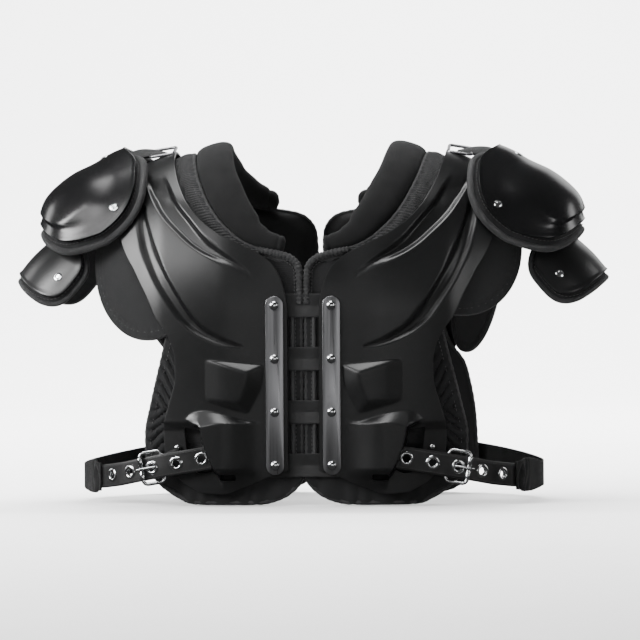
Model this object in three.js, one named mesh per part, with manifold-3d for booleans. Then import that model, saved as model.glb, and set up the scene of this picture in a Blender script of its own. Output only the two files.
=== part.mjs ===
// An American football shoulder pad, standing by itself with its front towards -Y.
// Lengths are millimetres and angles are degrees. +Z is up, and left and right are the wearer's,
// so the left side lies towards +X. One side is built and the other is its mirror image.
import * as THREE from "three";
import { mergeVertices } from "three/addons/utils/BufferGeometryUtils.js";
import Module from "manifold-3d";

const wasm = await Module();
wasm.setup();

// Body form: upright walls in front and behind, joined by a vault over the shoulders.
const HALF_WIDTH = 260;
const HALF_DEPTH = 145;
const FULLNESS = 2.4;
const SPRING_HEIGHT = 200;
const CREST_HEIGHT = 382;
const CREST_BREAK = 150;
const CREST_SLOPE = 0.3;
const CREST_CURVE = 0.0025;

// Moulded shells
const SHELL_WALL = 3;
const SHELL_REACH = 225;
const CENTRE_GAP_HALF = 17;
const PLATEAU_RISE = 5;
const PLATEAU_START = 36;
const PLATEAU_END = 92;
const RELIEF_SIDE_FADE = 28;
const RELIEF_BELOW_CREST = 30;
const RELIEF_TOP_FADE = 37;
const GROOVE_DEPTH = 5;
const GROOVE_HALF_WIDTH = 9;
const POCKET_RISE = 7;
const POCKET_BOTTOM = 100;
const POCKET_TOP = 158;
const POCKET_INNER = 50;
const POCKET_OUTER = 105;
const POCKET_FACE = 68;
const POCKET_SLANT = 6;
const POCKET_EDGE_FADE = 6;
const POCKET_END_FADE = 10;
const SCOOP_RISE = 14;
const SCOOP_INNER = 42;
const SCOOP_OUTER = 103;
const SCOOP_BOTTOM = 12;
const SCOOP_TOP = 82;
const SCOOP_SIDE_FADE = 38;
const SCOOP_TOE_SLANT = 16;
const SCOOP_TOE_HEIGHT = 45;
const SCOOP_BROW_SLANT = 10;
const SCOOP_BOTTOM_FADE = 18;
const SCOOP_TOP_FADE = 13;
const SCOOP_CLIFF = 5;
const SCOOP_BROW_START = 4;
const SCOOP_BROW_END = 12;
const WINDOW_OUTER = 131;
const WINDOW_BOTTOM = 28;
const WINDOW_TOP = 76;
const SLOT_CENTRE = 82;
const SLOT_HEIGHT = 30;
const SLOT_LENGTH = 18;
const SLOT_WIDTH = 7;

// Body pads
const PAD_CENTRE_GAP_HALF = 3;
const PAD_THICKNESS = 14;
const PAD_EDGE_ROUND = 3.5;
const PAD_LOWEST = 26;
const STRAP_CLEARANCE = 0.4;

// Neck rolls
const ROLL_HALF_WIDTH = 21;
const ROLL_HALF_THICKNESS = 11;
const ROLL_CLEARANCE = 2.2;
const ROLL_SIDES = 8;
const ROLL_SECTIONS = 14;

// Shoulder cups and their pads
const CUP_START = 206;
const CUP_REACH = 97;
const CUP_ABOVE_CREST = 5;
const CUP_DROP = 80;
const CUP_LENGTH = 131;
const CUP_HALF_SPAN = 136;
const CUP_INNER_RADIUS = 112;
const CUP_OUTER_RADIUS = 96;
const CUP_LEAN_ANGLE = 29;
const CUP_ROUNDNESS = 2.4;
const CUP_TAPER = 0.16;
const CUP_WALL = 3;
const CUP_FLANGE_STEP = 4;
const CUP_PAD_MARGIN = 11;
const CUP_PAD_INNER_MARGIN = 8;
const CUP_PAD_THICKNESS = 11;
const CUP_CELLS = 8;

// Epaulets and their pads
const EPAULET_START = 266;
const EPAULET_REACH = 57.5;
const EPAULET_BELOW_CREST = 80;
const EPAULET_DROP = 52;
const EPAULET_LENGTH = 77;
const EPAULET_HALF_SPAN = 108;
const EPAULET_RADIUS = 78;
const EPAULET_LEAN_ANGLE = 44;
const EPAULET_ROUNDNESS = 3.2;
const EPAULET_TAPER = 0.14;
const EPAULET_WALL = 2.5;
const EPAULET_PAD_MARGIN = 7;
const EPAULET_PAD_THICKNESS = 8;
const EPAULET_CELLS = 6;
const BACKING_CLEARANCE = 0.6;

// Arm flaps
const FLAP_THICKNESS = 8;
const FLAP_CELLS = 6;
const FLAP_ROUNDNESS = 2.1;
const FLAP_SLANT = 14;
const FLAP_EDGE_ROUND = 2;
const SEAT_CLEARANCE = 0.8;
const FRONT_FLAP_CLEARANCE = 0.7;
const FRONT_FLAP_INNER = 152;
const FRONT_FLAP_OUTER = 228;
const FRONT_FLAP_TOP = 305;
const FRONT_FLAP_BOTTOM = { left: 199, right: 172 };
const BACK_FLAP_CLEARANCE = 1.3;
const BACK_FLAP_INNER = 155;
const BACK_FLAP_OUTER = 205;
const BACK_FLAP_TOP = 300;
const BACK_FLAP_BOTTOM = 158;

// Lacing down the front, and the straps across the back
const PLATE_CENTRE = 30.5;
const PLATE_WIDTH = 19;
const PLATE_LENGTH = 191;
const PLATE_THICKNESS = 2;
const PLATE_BOTTOM = 33;
const METAL_CLEARANCE = 0.3;
const RIVET_COUNT = 4;
const RIVET_END_DISTANCE = 10;
const RIVET_HEAD_RADIUS = 5;
const RIVET_HEAD_HEIGHT = 3.2;
const RIVET_SHANK_RADIUS = 2.3;
const RIVET_SIDES = 8;
const WEBBING_WIDTH = 25.4;
const WEBBING_THICKNESS = 1.6;
const LACE_HALF_LENGTH = 37;
const BACK_STRAP_HEIGHTS = [60, 120, 180];

// Side belts
const BELT_WIDTH = 25.4;
const BELT_THICKNESS = 3;
const EYELET_PITCH = 28;
const EYELET_COUNT = 5;
const EYELET_FLANGE_RADIUS = 7.5;
const EYELET_BARREL_RADIUS = 5;
const EYELET_HOLE_RADIUS = 4;
const EYELET_FLANGE_HEIGHT = 1;
const EYELET_SIDES = 8;
const BELT_TAIL_X = 82;
const BELT_TAIL_LENGTH = 14;
const BELT_END_LENGTH = 16;
const BELT_SEAT = 4.5;
const ELASTIC_WIDTH = 36;
const ELASTIC_THICKNESS = 2;
const BUCKLE_WIDTH = 38;
const BUCKLE_LENGTH = 26;
const BUCKLE_WIRE_RADIUS = 2;
const BUCKLE_CORNER_RADIUS = 5;
const BUCKLE_ROLLER_RADIUS = 2.8;
const PRONG_RADIUS = 1.4;
const ANCHOR_START = 133;
const ANCHOR_END = 149;
const ANCHOR_THICKNESS = 2;
const ANCHOR_WIDTH = 32;
const ANCHOR_HEIGHT = 50;

// Straps on the shoulders
const SHOULDER_STRAP_START = 158;
const SHOULDER_STRAP_WIDTH = 25;
const SHOULDER_STRAP_THICKNESS = 1.6;
const RING_WIRE_RADIUS = 1.5;
const RING_INNER_BAR = 150;
const RING_OUTER_BAR = 173;
const RING_WIDTH = 36;
const HANGER_WIDTH = 34;
const HANGER_THICKNESS = 1.8;
const HANGER_SLACK = 0.9;

// Shell outline, row by row from the front hem over the shoulder to the back hem.
// inner and outer are shares of the way from the centre gap to the shell's full reach.
const SHELL_OUTLINE = [
  { station: -90, inner: 0, outer: 0.46 },
  { station: -84, inner: 0, outer: 0.56 },
  { station: -75, inner: 0, outer: 0.63 },
  { station: -68, inner: 0, outer: 0.645 },
  { station: -60, inner: 0, outer: 0.65 },
  { station: -52, inner: 0, outer: 0.635 },
  { station: -45, inner: 0, outer: 0.615 },
  { station: -30, inner: 0, outer: 0.58 },
  { station: -22, inner: 0, outer: 0.58 },
  { station: -14, inner: 0, outer: 0.595 },
  { station: -6, inner: 0, outer: 0.635 },
  { station: 3, inner: 0, outer: 0.7 },
  { station: 9, inner: 0.02, outer: 0.74 },
  { station: 14, inner: 0.055, outer: 0.775 },
  { station: 18, inner: 0.12, outer: 0.8 },
  { station: 22, inner: 0.225, outer: 0.83 },
  { station: 27, inner: 0.36, outer: 0.86 },
  { station: 35, inner: 0.48, outer: 0.89 },
  { station: 44, inner: 0.55, outer: 0.925 },
  { station: 58, inner: 0.605, outer: 0.965 },
  { station: 74, inner: 0.63, outer: 0.99 },
  { station: 90, inner: 0.635, outer: 1 },
  { station: 106, inner: 0.625, outer: 0.99 },
  { station: 118, inner: 0.59, outer: 0.97 },
  { station: 127, inner: 0.535, outer: 0.945 },
  { station: 135, inner: 0.45, outer: 0.92 },
  { station: 146, inner: 0.22, outer: 0.88 },
  { station: 150, inner: 0.11, outer: 0.865 },
  { station: 156, inner: 0.03, outer: 0.84 },
  { station: 165, inner: 0, outer: 0.79 },
  { station: 180, inner: 0, outer: 0.72 },
  { station: 200, inner: 0, outer: 0.64 },
  { station: 218, inner: 0, outer: 0.61 },
  { station: 236, inner: 0, outer: 0.64 },
  { station: 250, inner: 0, outer: 0.685 },
  { station: 262, inner: 0, outer: 0.67 },
  { station: 270, inner: 0, outer: 0.57 },
];
const SHELL_COLUMNS = [0, 0.1, 0.195, 0.3, 0.42, 0.54, 0.65, 0.8, 1];

// Hem heights of the shell as shares of the window's lower edge, across the hem
const SHELL_HEM = [
  { across: 0, front: 1.35, back: 1.1 },
  { across: 0.25, front: 1.05, back: 0.8 },
  { across: 0.5, front: 0.7, back: 0.45 },
  { across: 0.75, front: 0.43, back: 0.3 },
  { across: 1, front: 0.5, back: 0.43 },
];

// Body pad outline, in the same way as the shell's
const PAD_OUTLINE = [
  { station: -90, inner: 0, outer: 0.597 },
  { station: -83, inner: 0, outer: 0.71 },
  { station: -72, inner: 0, outer: 0.775 },
  { station: -58, inner: 0, outer: 0.78 },
  { station: -44, inner: 0, outer: 0.752 },
  { station: -7, inner: 0, outer: 0.663 },
  { station: 4, inner: 0, outer: 0.642 },
  { station: 12, inner: 0, outer: 0.64 },
  { station: 16, inner: 0.013, outer: 0.64 },
  { station: 19, inner: 0.117, outer: 0.64 },
  { station: 22, inner: 0.239, outer: 0.642 },
  { station: 27, inner: 0.342, outer: 0.655 },
  { station: 36, inner: 0.441, outer: 0.7 },
  { station: 46, inner: 0.502, outer: 0.79 },
  { station: 60, inner: 0.55, outer: 0.883 },
  { station: 75, inner: 0.572, outer: 0.944 },
  { station: 90, inner: 0.581, outer: 0.967 },
  { station: 105, inner: 0.577, outer: 0.944 },
  { station: 120, inner: 0.536, outer: 0.873 },
  { station: 130, inner: 0.477, outer: 0.78 },
  { station: 138, inner: 0.392, outer: 0.7 },
  { station: 143, inner: 0.293, outer: 0.66 },
  { station: 146, inner: 0.167, outer: 0.645 },
  { station: 149, inner: 0.067, outer: 0.64 },
  { station: 155, inner: 0.013, outer: 0.625 },
  { station: 182, inner: 0, outer: 0.615 },
  { station: 195, inner: 0, outer: 0.65 },
  { station: 206, inner: 0, outer: 0.73 },
  { station: 236, inner: 0, outer: 0.785 },
  { station: 262, inner: 0, outer: 0.794 },
  { station: 270, inner: 0, outer: 0.681 },
];
const PAD_COLUMNS = [0, 0.15, 0.45, 0.8, 0.93, 1];

// Hem heights of the pad as shares of its hem's rise at the centre. It stands on the zero stretch.
const PAD_HEM = [
  { across: 0, rise: 1 },
  { across: 0.15, rise: 0.4 },
  { across: 0.45, rise: 0 },
  { across: 0.8, rise: 0 },
  { across: 0.93, rise: 0.1 },
  { across: 1, rise: 0.3 },
];

// The edge that the neck roll follows: across is a share of the pad's reach
const ROLL_ROUTE = [
  { across: 0.144, station: 19.3 },
  { across: 0.212, station: 20.6 },
  { across: 0.293, station: 23.4 },
  { across: 0.36, station: 28 },
  { across: 0.441, station: 36 },
  { across: 0.502, station: 46 },
  { across: 0.55, station: 60 },
  { across: 0.572, station: 75 },
  { across: 0.581, station: 90 },
  { across: 0.577, station: 105 },
  { across: 0.536, station: 120 },
  { across: 0.482, station: 129.5 },
  { across: 0.392, station: 138 },
  { across: 0.293, station: 143 },
  { across: 0.203, station: 145.3 },
];

// Size of the neck roll along its route, as shares of its half width and half thickness
const ROLL_SECTION = [
  { along: 0, width: 0.2, thickness: 0.35 },
  { along: 0.02, width: 0.38, thickness: 0.65 },
  { along: 0.08, width: 0.52, thickness: 0.78 },
  { along: 0.2, width: 0.74, thickness: 0.88 },
  { along: 0.4, width: 0.98, thickness: 1 },
  { along: 0.6, width: 0.98, thickness: 1 },
  { along: 0.8, width: 0.82, thickness: 0.9 },
  { along: 0.92, width: 0.66, thickness: 0.8 },
  { along: 0.98, width: 0.46, thickness: 0.65 },
  { along: 1, width: 0.24, thickness: 0.35 },
];

// Crest lines of the cup and the epaulet: shares of their reach outwards and their drop
const CUP_CREST = [
  { reach: 0, drop: 0 },
  { reach: 0.252, drop: 0.124 },
  { reach: 0.492, drop: 0.278 },
  { reach: 0.717, drop: 0.457 },
  { reach: 0.908, drop: 0.692 },
  { reach: 1, drop: 1 },
];
const EPAULET_CREST = [
  { reach: 0, drop: 0 },
  { reach: 0.26, drop: 0.2 },
  { reach: 0.51, drop: 0.42 },
  { reach: 0.76, drop: 0.68 },
  { reach: 1, drop: 1 },
];

// Grooves in the chest, as shares of the shell's reach and of the spring height
const NECK_GROOVE = [
  { across: 0.26, height: 1.255, width: 0.35 },
  { across: 0.37, height: 1.325, width: 0.6 },
  { across: 0.505, height: 1.42, width: 0.85 },
  { across: 0.61, height: 1.54, width: 1 },
  { across: 0.67, height: 1.63, width: 1.1 },
  { across: 0.7, height: 1.73, width: 1.1 },
];
const OUTER_GROOVE = [
  { across: 0.29, height: 0.83, width: 0.4 },
  { across: 0.39, height: 0.86, width: 0.7 },
  { across: 0.515, height: 0.925, width: 0.9 },
  { across: 0.61, height: 1.05, width: 0.9 },
  { across: 0.69, height: 1.185, width: 0.8 },
  { across: 0.745, height: 1.305, width: 0.7 },
  { across: 0.79, height: 1.44, width: 0.5 },
];

// Heading of the belt seen from above, facet by facet from its tail, and the height of each end
// of a facet as a share of the height where the belt leaves the scoop.
const BELT_HEIGHT = 52;
const BELT_FACETS = [
  { heading: 3, rise: 1.06 },
  { heading: 6, rise: 1.01 },
  { heading: 12, rise: 0.92 },
  { heading: 21, rise: 0.83 },
  { heading: 34, rise: 0.73 },
  { heading: 48, rise: 0.63 },
  { heading: 60, rise: 0.57 },
];
const BELT_END_RISE = 0.55;

// The elastic from the belt's end round the side to the back: shares of the half width and
// half depth, with its height as a share of the belt's
const ELASTIC_ROUTE = [
  { across: 0.932, depth: -0.31, rise: 0.54 },
  { across: 0.958, depth: -0.19, rise: 0.54 },
  { across: 0.968, depth: -0.04, rise: 0.56 },
  { across: 0.962, depth: 0.12, rise: 0.6 },
  { across: 0.93, depth: 0.29, rise: 0.66 },
  { across: 0.872, depth: 0.47, rise: 0.74 },
  { across: 0.795, depth: 0.64, rise: 0.83 },
  { across: 0.715, depth: 0.77, rise: 0.92 },
];
const ELASTIC_LANDING = [0.62, 0.565, 0.51];

const MATERIALS = {
  shellPlastic: material(0x131415, 0.28, 0),
  cupPlastic: material(0x101112, 0.22, 0),
  padFabric: material(0x17181a, 0.9, 0),
  rollFabric: material(0x141516, 0.8, 0),
  webbing: material(0x0e0f10, 0.85, 0),
  leather: material(0x151515, 0.55, 0),
  satinSteel: material(0xa6a8aa, 0.38, 1),
  chrome: material(0xd6d8da, 0.12, 1),
};

const object = new THREE.Group();

function material(color, roughness, metalness) {
  return new THREE.MeshStandardMaterial({ color, roughness, metalness });
}

function radians(degrees) {
  return degrees * Math.PI / 180;
}

function mix(from, to, share) {
  return from + (to - from) * share;
}

function ramp(value, from, to) {
  const share = Math.min(1, Math.max(0, (value - from) / (to - from)));
  return share * share * (3 - 2 * share);
}

// Reads a column of a table of rows, linearly between the rows
function sample(rows, key, at, column) {
  const last = rows[rows.length - 1];
  if (at >= last[key]) {
    return last[column];
  }
  const index = Math.max(1, rows.findIndex((row) => row[key] > at));
  const low = rows[index - 1];
  const high = rows[index];
  const share = Math.max(0, (at - low[key]) / (high[key] - low[key]));
  return mix(low[column], high[column], share);
}

function depthAt(x) {
  return HALF_DEPTH * (1 - (Math.abs(x) / HALF_WIDTH) ** FULLNESS) ** (1 / FULLNESS);
}

function crestAt(x) {
  const beyond = Math.abs(x) - CREST_BREAK;
  return CREST_HEIGHT - CREST_SLOPE * beyond - CREST_CURVE * Math.max(0, beyond) ** 2;
}

// A point of the body form. The station runs from -90 at the front hem, through 0 at the front
// spring line, 90 at the crest and 180 at the back spring line, to 270 at the back hem.
function formPoint(x, station, hem) {
  const depth = depthAt(x);
  if (station < 0) {
    return new THREE.Vector3(x, -depth, mix(hem, SPRING_HEIGHT, 1 + station / 90));
  }
  if (station > 180) {
    return new THREE.Vector3(x, depth, mix(hem, SPRING_HEIGHT, 3 - station / 90));
  }
  const angle = radians(station);
  const rise = (crestAt(x) - SPRING_HEIGHT) * Math.sin(angle);
  return new THREE.Vector3(x, -depth * Math.cos(angle), SPRING_HEIGHT + rise);
}

// Station of the form's front at a height above the spring line, or below it on the wall
function stationAtHeight(x, z) {
  if (z < SPRING_HEIGHT) {
    return (z / SPRING_HEIGHT - 1) * 90;
  }
  const share = (z - SPRING_HEIGHT) / (crestAt(x) - SPRING_HEIGHT);
  return Math.asin(Math.min(1, share)) * 180 / Math.PI;
}

// Point and outward normal of a surface place(u, v), by small steps along u and v
function frameOf(place, u, v) {
  const step = 0.25;
  const alongU = place(u + step, v).sub(place(u - step, v));
  const alongV = place(u, v + step).sub(place(u, v - step));
  return { point: place(u, v), normal: alongU.cross(alongV).normalize() };
}

function formFrame(x, station, hem) {
  return frameOf((u, v) => formPoint(u, v, hem), x, station);
}

function offsetPoint(frame, offset) {
  return frame.point.clone().addScaledVector(frame.normal, offset);
}

function shapeFrom(points, triangles) {
  const geometry = new THREE.BufferGeometry();
  const numbers = points.flatMap((point) => [point.x, point.y, point.z]);
  geometry.setAttribute("position", new THREE.Float32BufferAttribute(numbers, 3));
  geometry.setIndex(triangles.flat());
  return geometry;
}

// A wall between two faces over one grid of frames. Columns run along u and rows along v.
// Each offset is a function of row and column, and the border is pinched by edgeRound.
function wall(frames, outerOffset, innerOffset, edgeRound = 0) {
  const rows = frames.length;
  const columns = frames[0].length;
  const points = [];
  for (const face of ["outer", "inner"]) {
    frames.forEach((row, r) => row.forEach((frame, c) => {
      const onBorder = r === 0 || c === 0 || r === rows - 1 || c === columns - 1;
      const pinch = onBorder ? edgeRound : 0;
      const offset = face === "outer" ? outerOffset(r, c) - pinch : innerOffset(r, c) + pinch;
      points.push(offsetPoint(frame, offset));
    }));
  }
  const innerStart = rows * columns;
  const at = (r, c) => r * columns + c;
  const triangles = [];
  const quad = (a, b, c, d) => triangles.push([a, b, c], [a, c, d]);
  const rim = (a, b) => quad(a, b, b + innerStart, a + innerStart);
  for (let r = 0; r < rows - 1; r += 1) {
    for (let c = 0; c < columns - 1; c += 1) {
      const corners = [at(r, c), at(r, c + 1), at(r + 1, c + 1), at(r + 1, c)];
      quad(...corners);
      const [low, next, far, above] = corners.map((corner) => corner + innerStart);
      triangles.push([low, far, next], [low, above, far]);
    }
  }
  for (let c = 0; c < columns - 1; c += 1) {
    rim(at(0, c + 1), at(0, c));
    rim(at(rows - 1, c), at(rows - 1, c + 1));
  }
  for (let r = 0; r < rows - 1; r += 1) {
    rim(at(r, 0), at(r + 1, 0));
    rim(at(r + 1, columns - 1), at(r, columns - 1));
  }
  return shapeFrom(points, triangles);
}

function constant(value) {
  return () => value;
}

// Closed sections joined end to end, with a fan over each end
function loft(sections) {
  const sides = sections[0].length;
  const points = sections.flat();
  const triangles = [];
  for (let s = 0; s < sections.length - 1; s += 1) {
    for (let k = 0; k < sides; k += 1) {
      const a = s * sides + k;
      const b = s * sides + (k + 1) % sides;
      triangles.push([a, b, b + sides], [a, b + sides, a + sides]);
    }
  }
  const lastStart = (sections.length - 1) * sides;
  for (let k = 1; k < sides - 1; k += 1) {
    triangles.push([0, k + 1, k], [lastStart, lastStart + k, lastStart + k + 1]);
  }
  return outwards(shapeFrom(points, triangles));
}

// A wire of round section along a list of points, closed into a ring or with flat ends
function wire(points, radius, sides, closed) {
  const sections = points.map((point, index) => {
    const count = points.length;
    const before = closed ? points[(index + count - 1) % count] : points[Math.max(0, index - 1)];
    const after = closed ? points[(index + 1) % count] : points[Math.min(count - 1, index + 1)];
    const along = after.clone().sub(before).normalize();
    const reference = Math.abs(along.y) < 0.8 ? new THREE.Vector3(0, 1, 0) : new THREE.Vector3(1, 0, 0);
    const across = reference.cross(along).normalize();
    const up = along.clone().cross(across);
    return Array.from({ length: sides }, (_, k) => {
      const angle = 2 * Math.PI * (k + 0.5) / sides;
      return point.clone()
        .addScaledVector(across, radius * Math.cos(angle))
        .addScaledVector(up, radius * Math.sin(angle));
    });
  });
  if (!closed) {
    return loft(sections);
  }
  const triangles = [];
  sections.forEach((section, s) => {
    for (let k = 0; k < sides; k += 1) {
      const next = (s + 1) % sections.length;
      const a = s * sides + k;
      const b = s * sides + (k + 1) % sides;
      const c = next * sides + (k + 1) % sides;
      const d = next * sides + k;
      triangles.push([a, b, c], [a, c, d]);
    }
  });
  return outwards(shapeFrom(sections.flat(), triangles));
}

function signedVolume(geometry) {
  const position = geometry.getAttribute("position");
  const index = geometry.getIndex();
  const corner = (k) => new THREE.Vector3().fromBufferAttribute(position, index.getX(k));
  let volume = 0;
  for (let k = 0; k < index.count; k += 3) {
    volume += corner(k).dot(corner(k + 1).cross(corner(k + 2))) / 6;
  }
  return volume;
}

function flipped(geometry) {
  const index = geometry.getIndex();
  for (let k = 0; k < index.count; k += 3) {
    const second = index.getX(k + 1);
    index.setX(k + 1, index.getX(k + 2));
    index.setX(k + 2, second);
  }
  return geometry;
}

function outwards(geometry) {
  return signedVolume(geometry) < 0 ? flipped(geometry) : geometry;
}

// The mirror image across the plane x = 0 or y = 0
function mirrored(geometry, scaleX, scaleY) {
  return flipped(bare(geometry).scale(scaleX, scaleY, 1));
}

function bare(geometry) {
  const copy = geometry.clone();
  copy.deleteAttribute("normal");
  copy.deleteAttribute("uv");
  return mergeVertices(copy, 1e-4);
}

function solidOf(geometry) {
  const merged = bare(geometry);
  return new wasm.Manifold(new wasm.Mesh({
    numProp: 3,
    vertProperties: Float32Array.from(merged.getAttribute("position").array),
    triVerts: Uint32Array.from(merged.getIndex().array),
  }));
}

function geometryOf(solid) {
  const mesh = solid.getMesh();
  const geometry = new THREE.BufferGeometry();
  geometry.setAttribute("position", new THREE.BufferAttribute(mesh.vertProperties, 3));
  geometry.setIndex(new THREE.BufferAttribute(mesh.triVerts, 1));
  return geometry;
}

function cut(geometry, tools) {
  return geometryOf(tools.reduce((solid, tool) => solid.subtract(solidOf(tool)), solidOf(geometry)));
}

function join(geometries) {
  return geometryOf(geometries.map(solidOf).reduce((solid, other) => solid.add(other)));
}

function block(low, high) {
  const size = high.clone().sub(low);
  const middle = low.clone().add(high).multiplyScalar(0.5);
  return new THREE.BoxGeometry(size.x, size.y, size.z).translate(middle.x, middle.y, middle.z);
}

// A round bar along Y
function barAlongY(x, z, fromY, toY, radius, sides) {
  const bar = new THREE.CylinderGeometry(radius, radius, toY - fromY, sides);
  return bar.translate(x, 0, 0).translate(0, (fromY + toY) / 2, z);
}

function addPiece(name, geometry, finish) {
  const mesh = new THREE.Mesh(bare(geometry), finish.clone());
  mesh.name = name;
  object.add(mesh);
}

// Adds one side's piece, mirrored for the wearer's right
function addSidePiece(side, name, geometry, finish) {
  addPiece(`${side}_${name}`, side === "left" ? geometry : mirrored(geometry, -1, 1), finish);
}

function nearRoute(route, x, z) {
  const points = route.map((row) => new THREE.Vector2(row.across * SHELL_REACH, row.height * SPRING_HEIGHT));
  const here = new THREE.Vector2(x, z);
  let best = { distance: Infinity, width: 0 };
  for (let k = 0; k < points.length - 1; k += 1) {
    const along = points[k + 1].clone().sub(points[k]);
    const share = Math.min(1, Math.max(0, here.clone().sub(points[k]).dot(along) / along.lengthSq()));
    const distance = here.distanceTo(points[k].clone().addScaledVector(along, share));
    if (distance < best.distance) {
      best = { distance, width: mix(route[k].width, route[k + 1].width, share) };
    }
  }
  return best;
}

function grooveAt(route, x, z) {
  const near = nearRoute(route, x, z);
  const halfWidth = GROOVE_HALF_WIDTH * near.width;
  return GROOVE_DEPTH * Math.min(1, near.width) * (1 - ramp(near.distance, halfWidth * 0.4, halfWidth * 1.5));
}

// How far the moulded front stands out of the body form
function reliefAt(point) {
  if (point.y > 0) {
    return 0;
  }
  const { x, z } = point;
  const reliefTop = CREST_HEIGHT - RELIEF_BELOW_CREST;
  const fade = (1 - ramp(x, CREST_BREAK, CREST_BREAK + RELIEF_SIDE_FADE))
    * (1 - ramp(z, reliefTop - RELIEF_TOP_FADE, reliefTop));
  const plateau = PLATEAU_RISE * ramp(x, PLATEAU_START, PLATEAU_END) * fade;
  const grooves = Math.max(grooveAt(NECK_GROOVE, x, z), grooveAt(OUTER_GROOVE, x, z));
  const pocketHeight = (z - POCKET_BOTTOM) / (POCKET_TOP - POCKET_BOTTOM);
  const pocketEdge = POCKET_INNER + mix(POCKET_SLANT, -POCKET_SLANT, pocketHeight);
  const pocket = POCKET_RISE * ramp(x, pocketEdge - POCKET_EDGE_FADE, pocketEdge + POCKET_EDGE_FADE)
    * (1 - ramp(x, POCKET_FACE, POCKET_OUTER))
    * ramp(z, POCKET_BOTTOM, POCKET_BOTTOM + POCKET_END_FADE)
    * (1 - ramp(z, POCKET_TOP - POCKET_END_FADE, POCKET_TOP));
  const browTop = SCOOP_TOP - SCOOP_BROW_SLANT * (1 - ramp(x, SCOOP_INNER, SCOOP_OUTER));
  const scoop = (SCOOP_RISE - PLATEAU_RISE) * ramp(x, SCOOP_INNER, SCOOP_INNER + SCOOP_SIDE_FADE)
    * ramp(z, SCOOP_BOTTOM, SCOOP_BOTTOM + SCOOP_BOTTOM_FADE)
    * (1 - ramp(z, browTop - SCOOP_TOP_FADE, browTop));
  const scoopOuter = SCOOP_OUTER - SCOOP_TOE_SLANT * (1 - ramp(z, SCOOP_BOTTOM, SCOOP_TOE_HEIGHT));
  const beyondScoop = ramp(x, scoopOuter, scoopOuter + SCOOP_CLIFF)
    * (1 - ramp(z, SCOOP_TOP - SCOOP_BROW_START, SCOOP_TOP + SCOOP_BROW_END));
  return (Math.max(0, plateau - grooves) + pocket + scoop) * (1 - beyondScoop);
}

// Frames of an outline table, from a start near the centre plane out to the shell's reach
function outlineFrames(outline, columns, start, hemAt) {
  return outline.map((row) => columns.map((across) => {
    const x = mix(start, SHELL_REACH, mix(row.inner, row.outer, across));
    return formFrame(x, row.station, hemAt(across, row.station));
  }));
}

function shellHem(across, station) {
  return WINDOW_BOTTOM * sample(SHELL_HEM, "across", across, station < 90 ? "front" : "back");
}

function rivetHeights() {
  const first = PLATE_BOTTOM + RIVET_END_DISTANCE;
  const pitch = (PLATE_LENGTH - 2 * RIVET_END_DISTANCE) / (RIVET_COUNT - 1);
  return Array.from({ length: RIVET_COUNT }, (_, index) => first + index * pitch);
}

// Bars that cut the rivet holes of one plate through everything behind it
function rivetHoles(x) {
  const radius = RIVET_SHANK_RADIUS + METAL_CLEARANCE;
  return rivetHeights().map((z) => barAlongY(x, z, -HALF_DEPTH * 1.2, -HALF_DEPTH * 0.8, radius, RIVET_SIDES));
}

function shell() {
  const frames = outlineFrames(SHELL_OUTLINE, SHELL_COLUMNS, CENTRE_GAP_HALF, shellHem);
  const relief = frames.map((row) => row.map((frame) => reliefAt(frame.point)));
  const body = wall(frames, (r, c) => relief[r][c], (r, c) => relief[r][c] - SHELL_WALL);
  const front = -HALF_DEPTH * 1.3;
  const inside = -HALF_DEPTH * 0.8;
  const beltWindow = block(
    new THREE.Vector3(SCOOP_OUTER - SHELL_WALL, front, WINDOW_BOTTOM),
    new THREE.Vector3(WINDOW_OUTER, inside, WINDOW_TOP),
  );
  const slot = block(
    new THREE.Vector3(SLOT_CENTRE - SLOT_LENGTH / 2, front, SLOT_HEIGHT - SLOT_WIDTH / 2),
    new THREE.Vector3(SLOT_CENTRE + SLOT_LENGTH / 2, inside, SLOT_HEIGHT + SLOT_WIDTH / 2),
  );
  return cut(body, [beltWindow, slot, ...rivetHoles(PLATE_CENTRE)]);
}

// Depth of the pad's outer face below the form, which leaves room for the highest lacing strap
function padSetback() {
  const heights = rivetHeights();
  return HALF_DEPTH - webbingFace(heights[heights.length - 1]) + WEBBING_THICKNESS + STRAP_CLEARANCE;
}

function bodyPad() {
  const hemAt = (across) => PAD_LOWEST * sample(PAD_HEM, "across", across, "rise");
  const frames = outlineFrames(PAD_OUTLINE, PAD_COLUMNS, PAD_CENTRE_GAP_HALF, hemAt);
  const outer = -padSetback();
  return wall(frames, constant(outer), constant(outer - PAD_THICKNESS), PAD_EDGE_ROUND);
}

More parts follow.
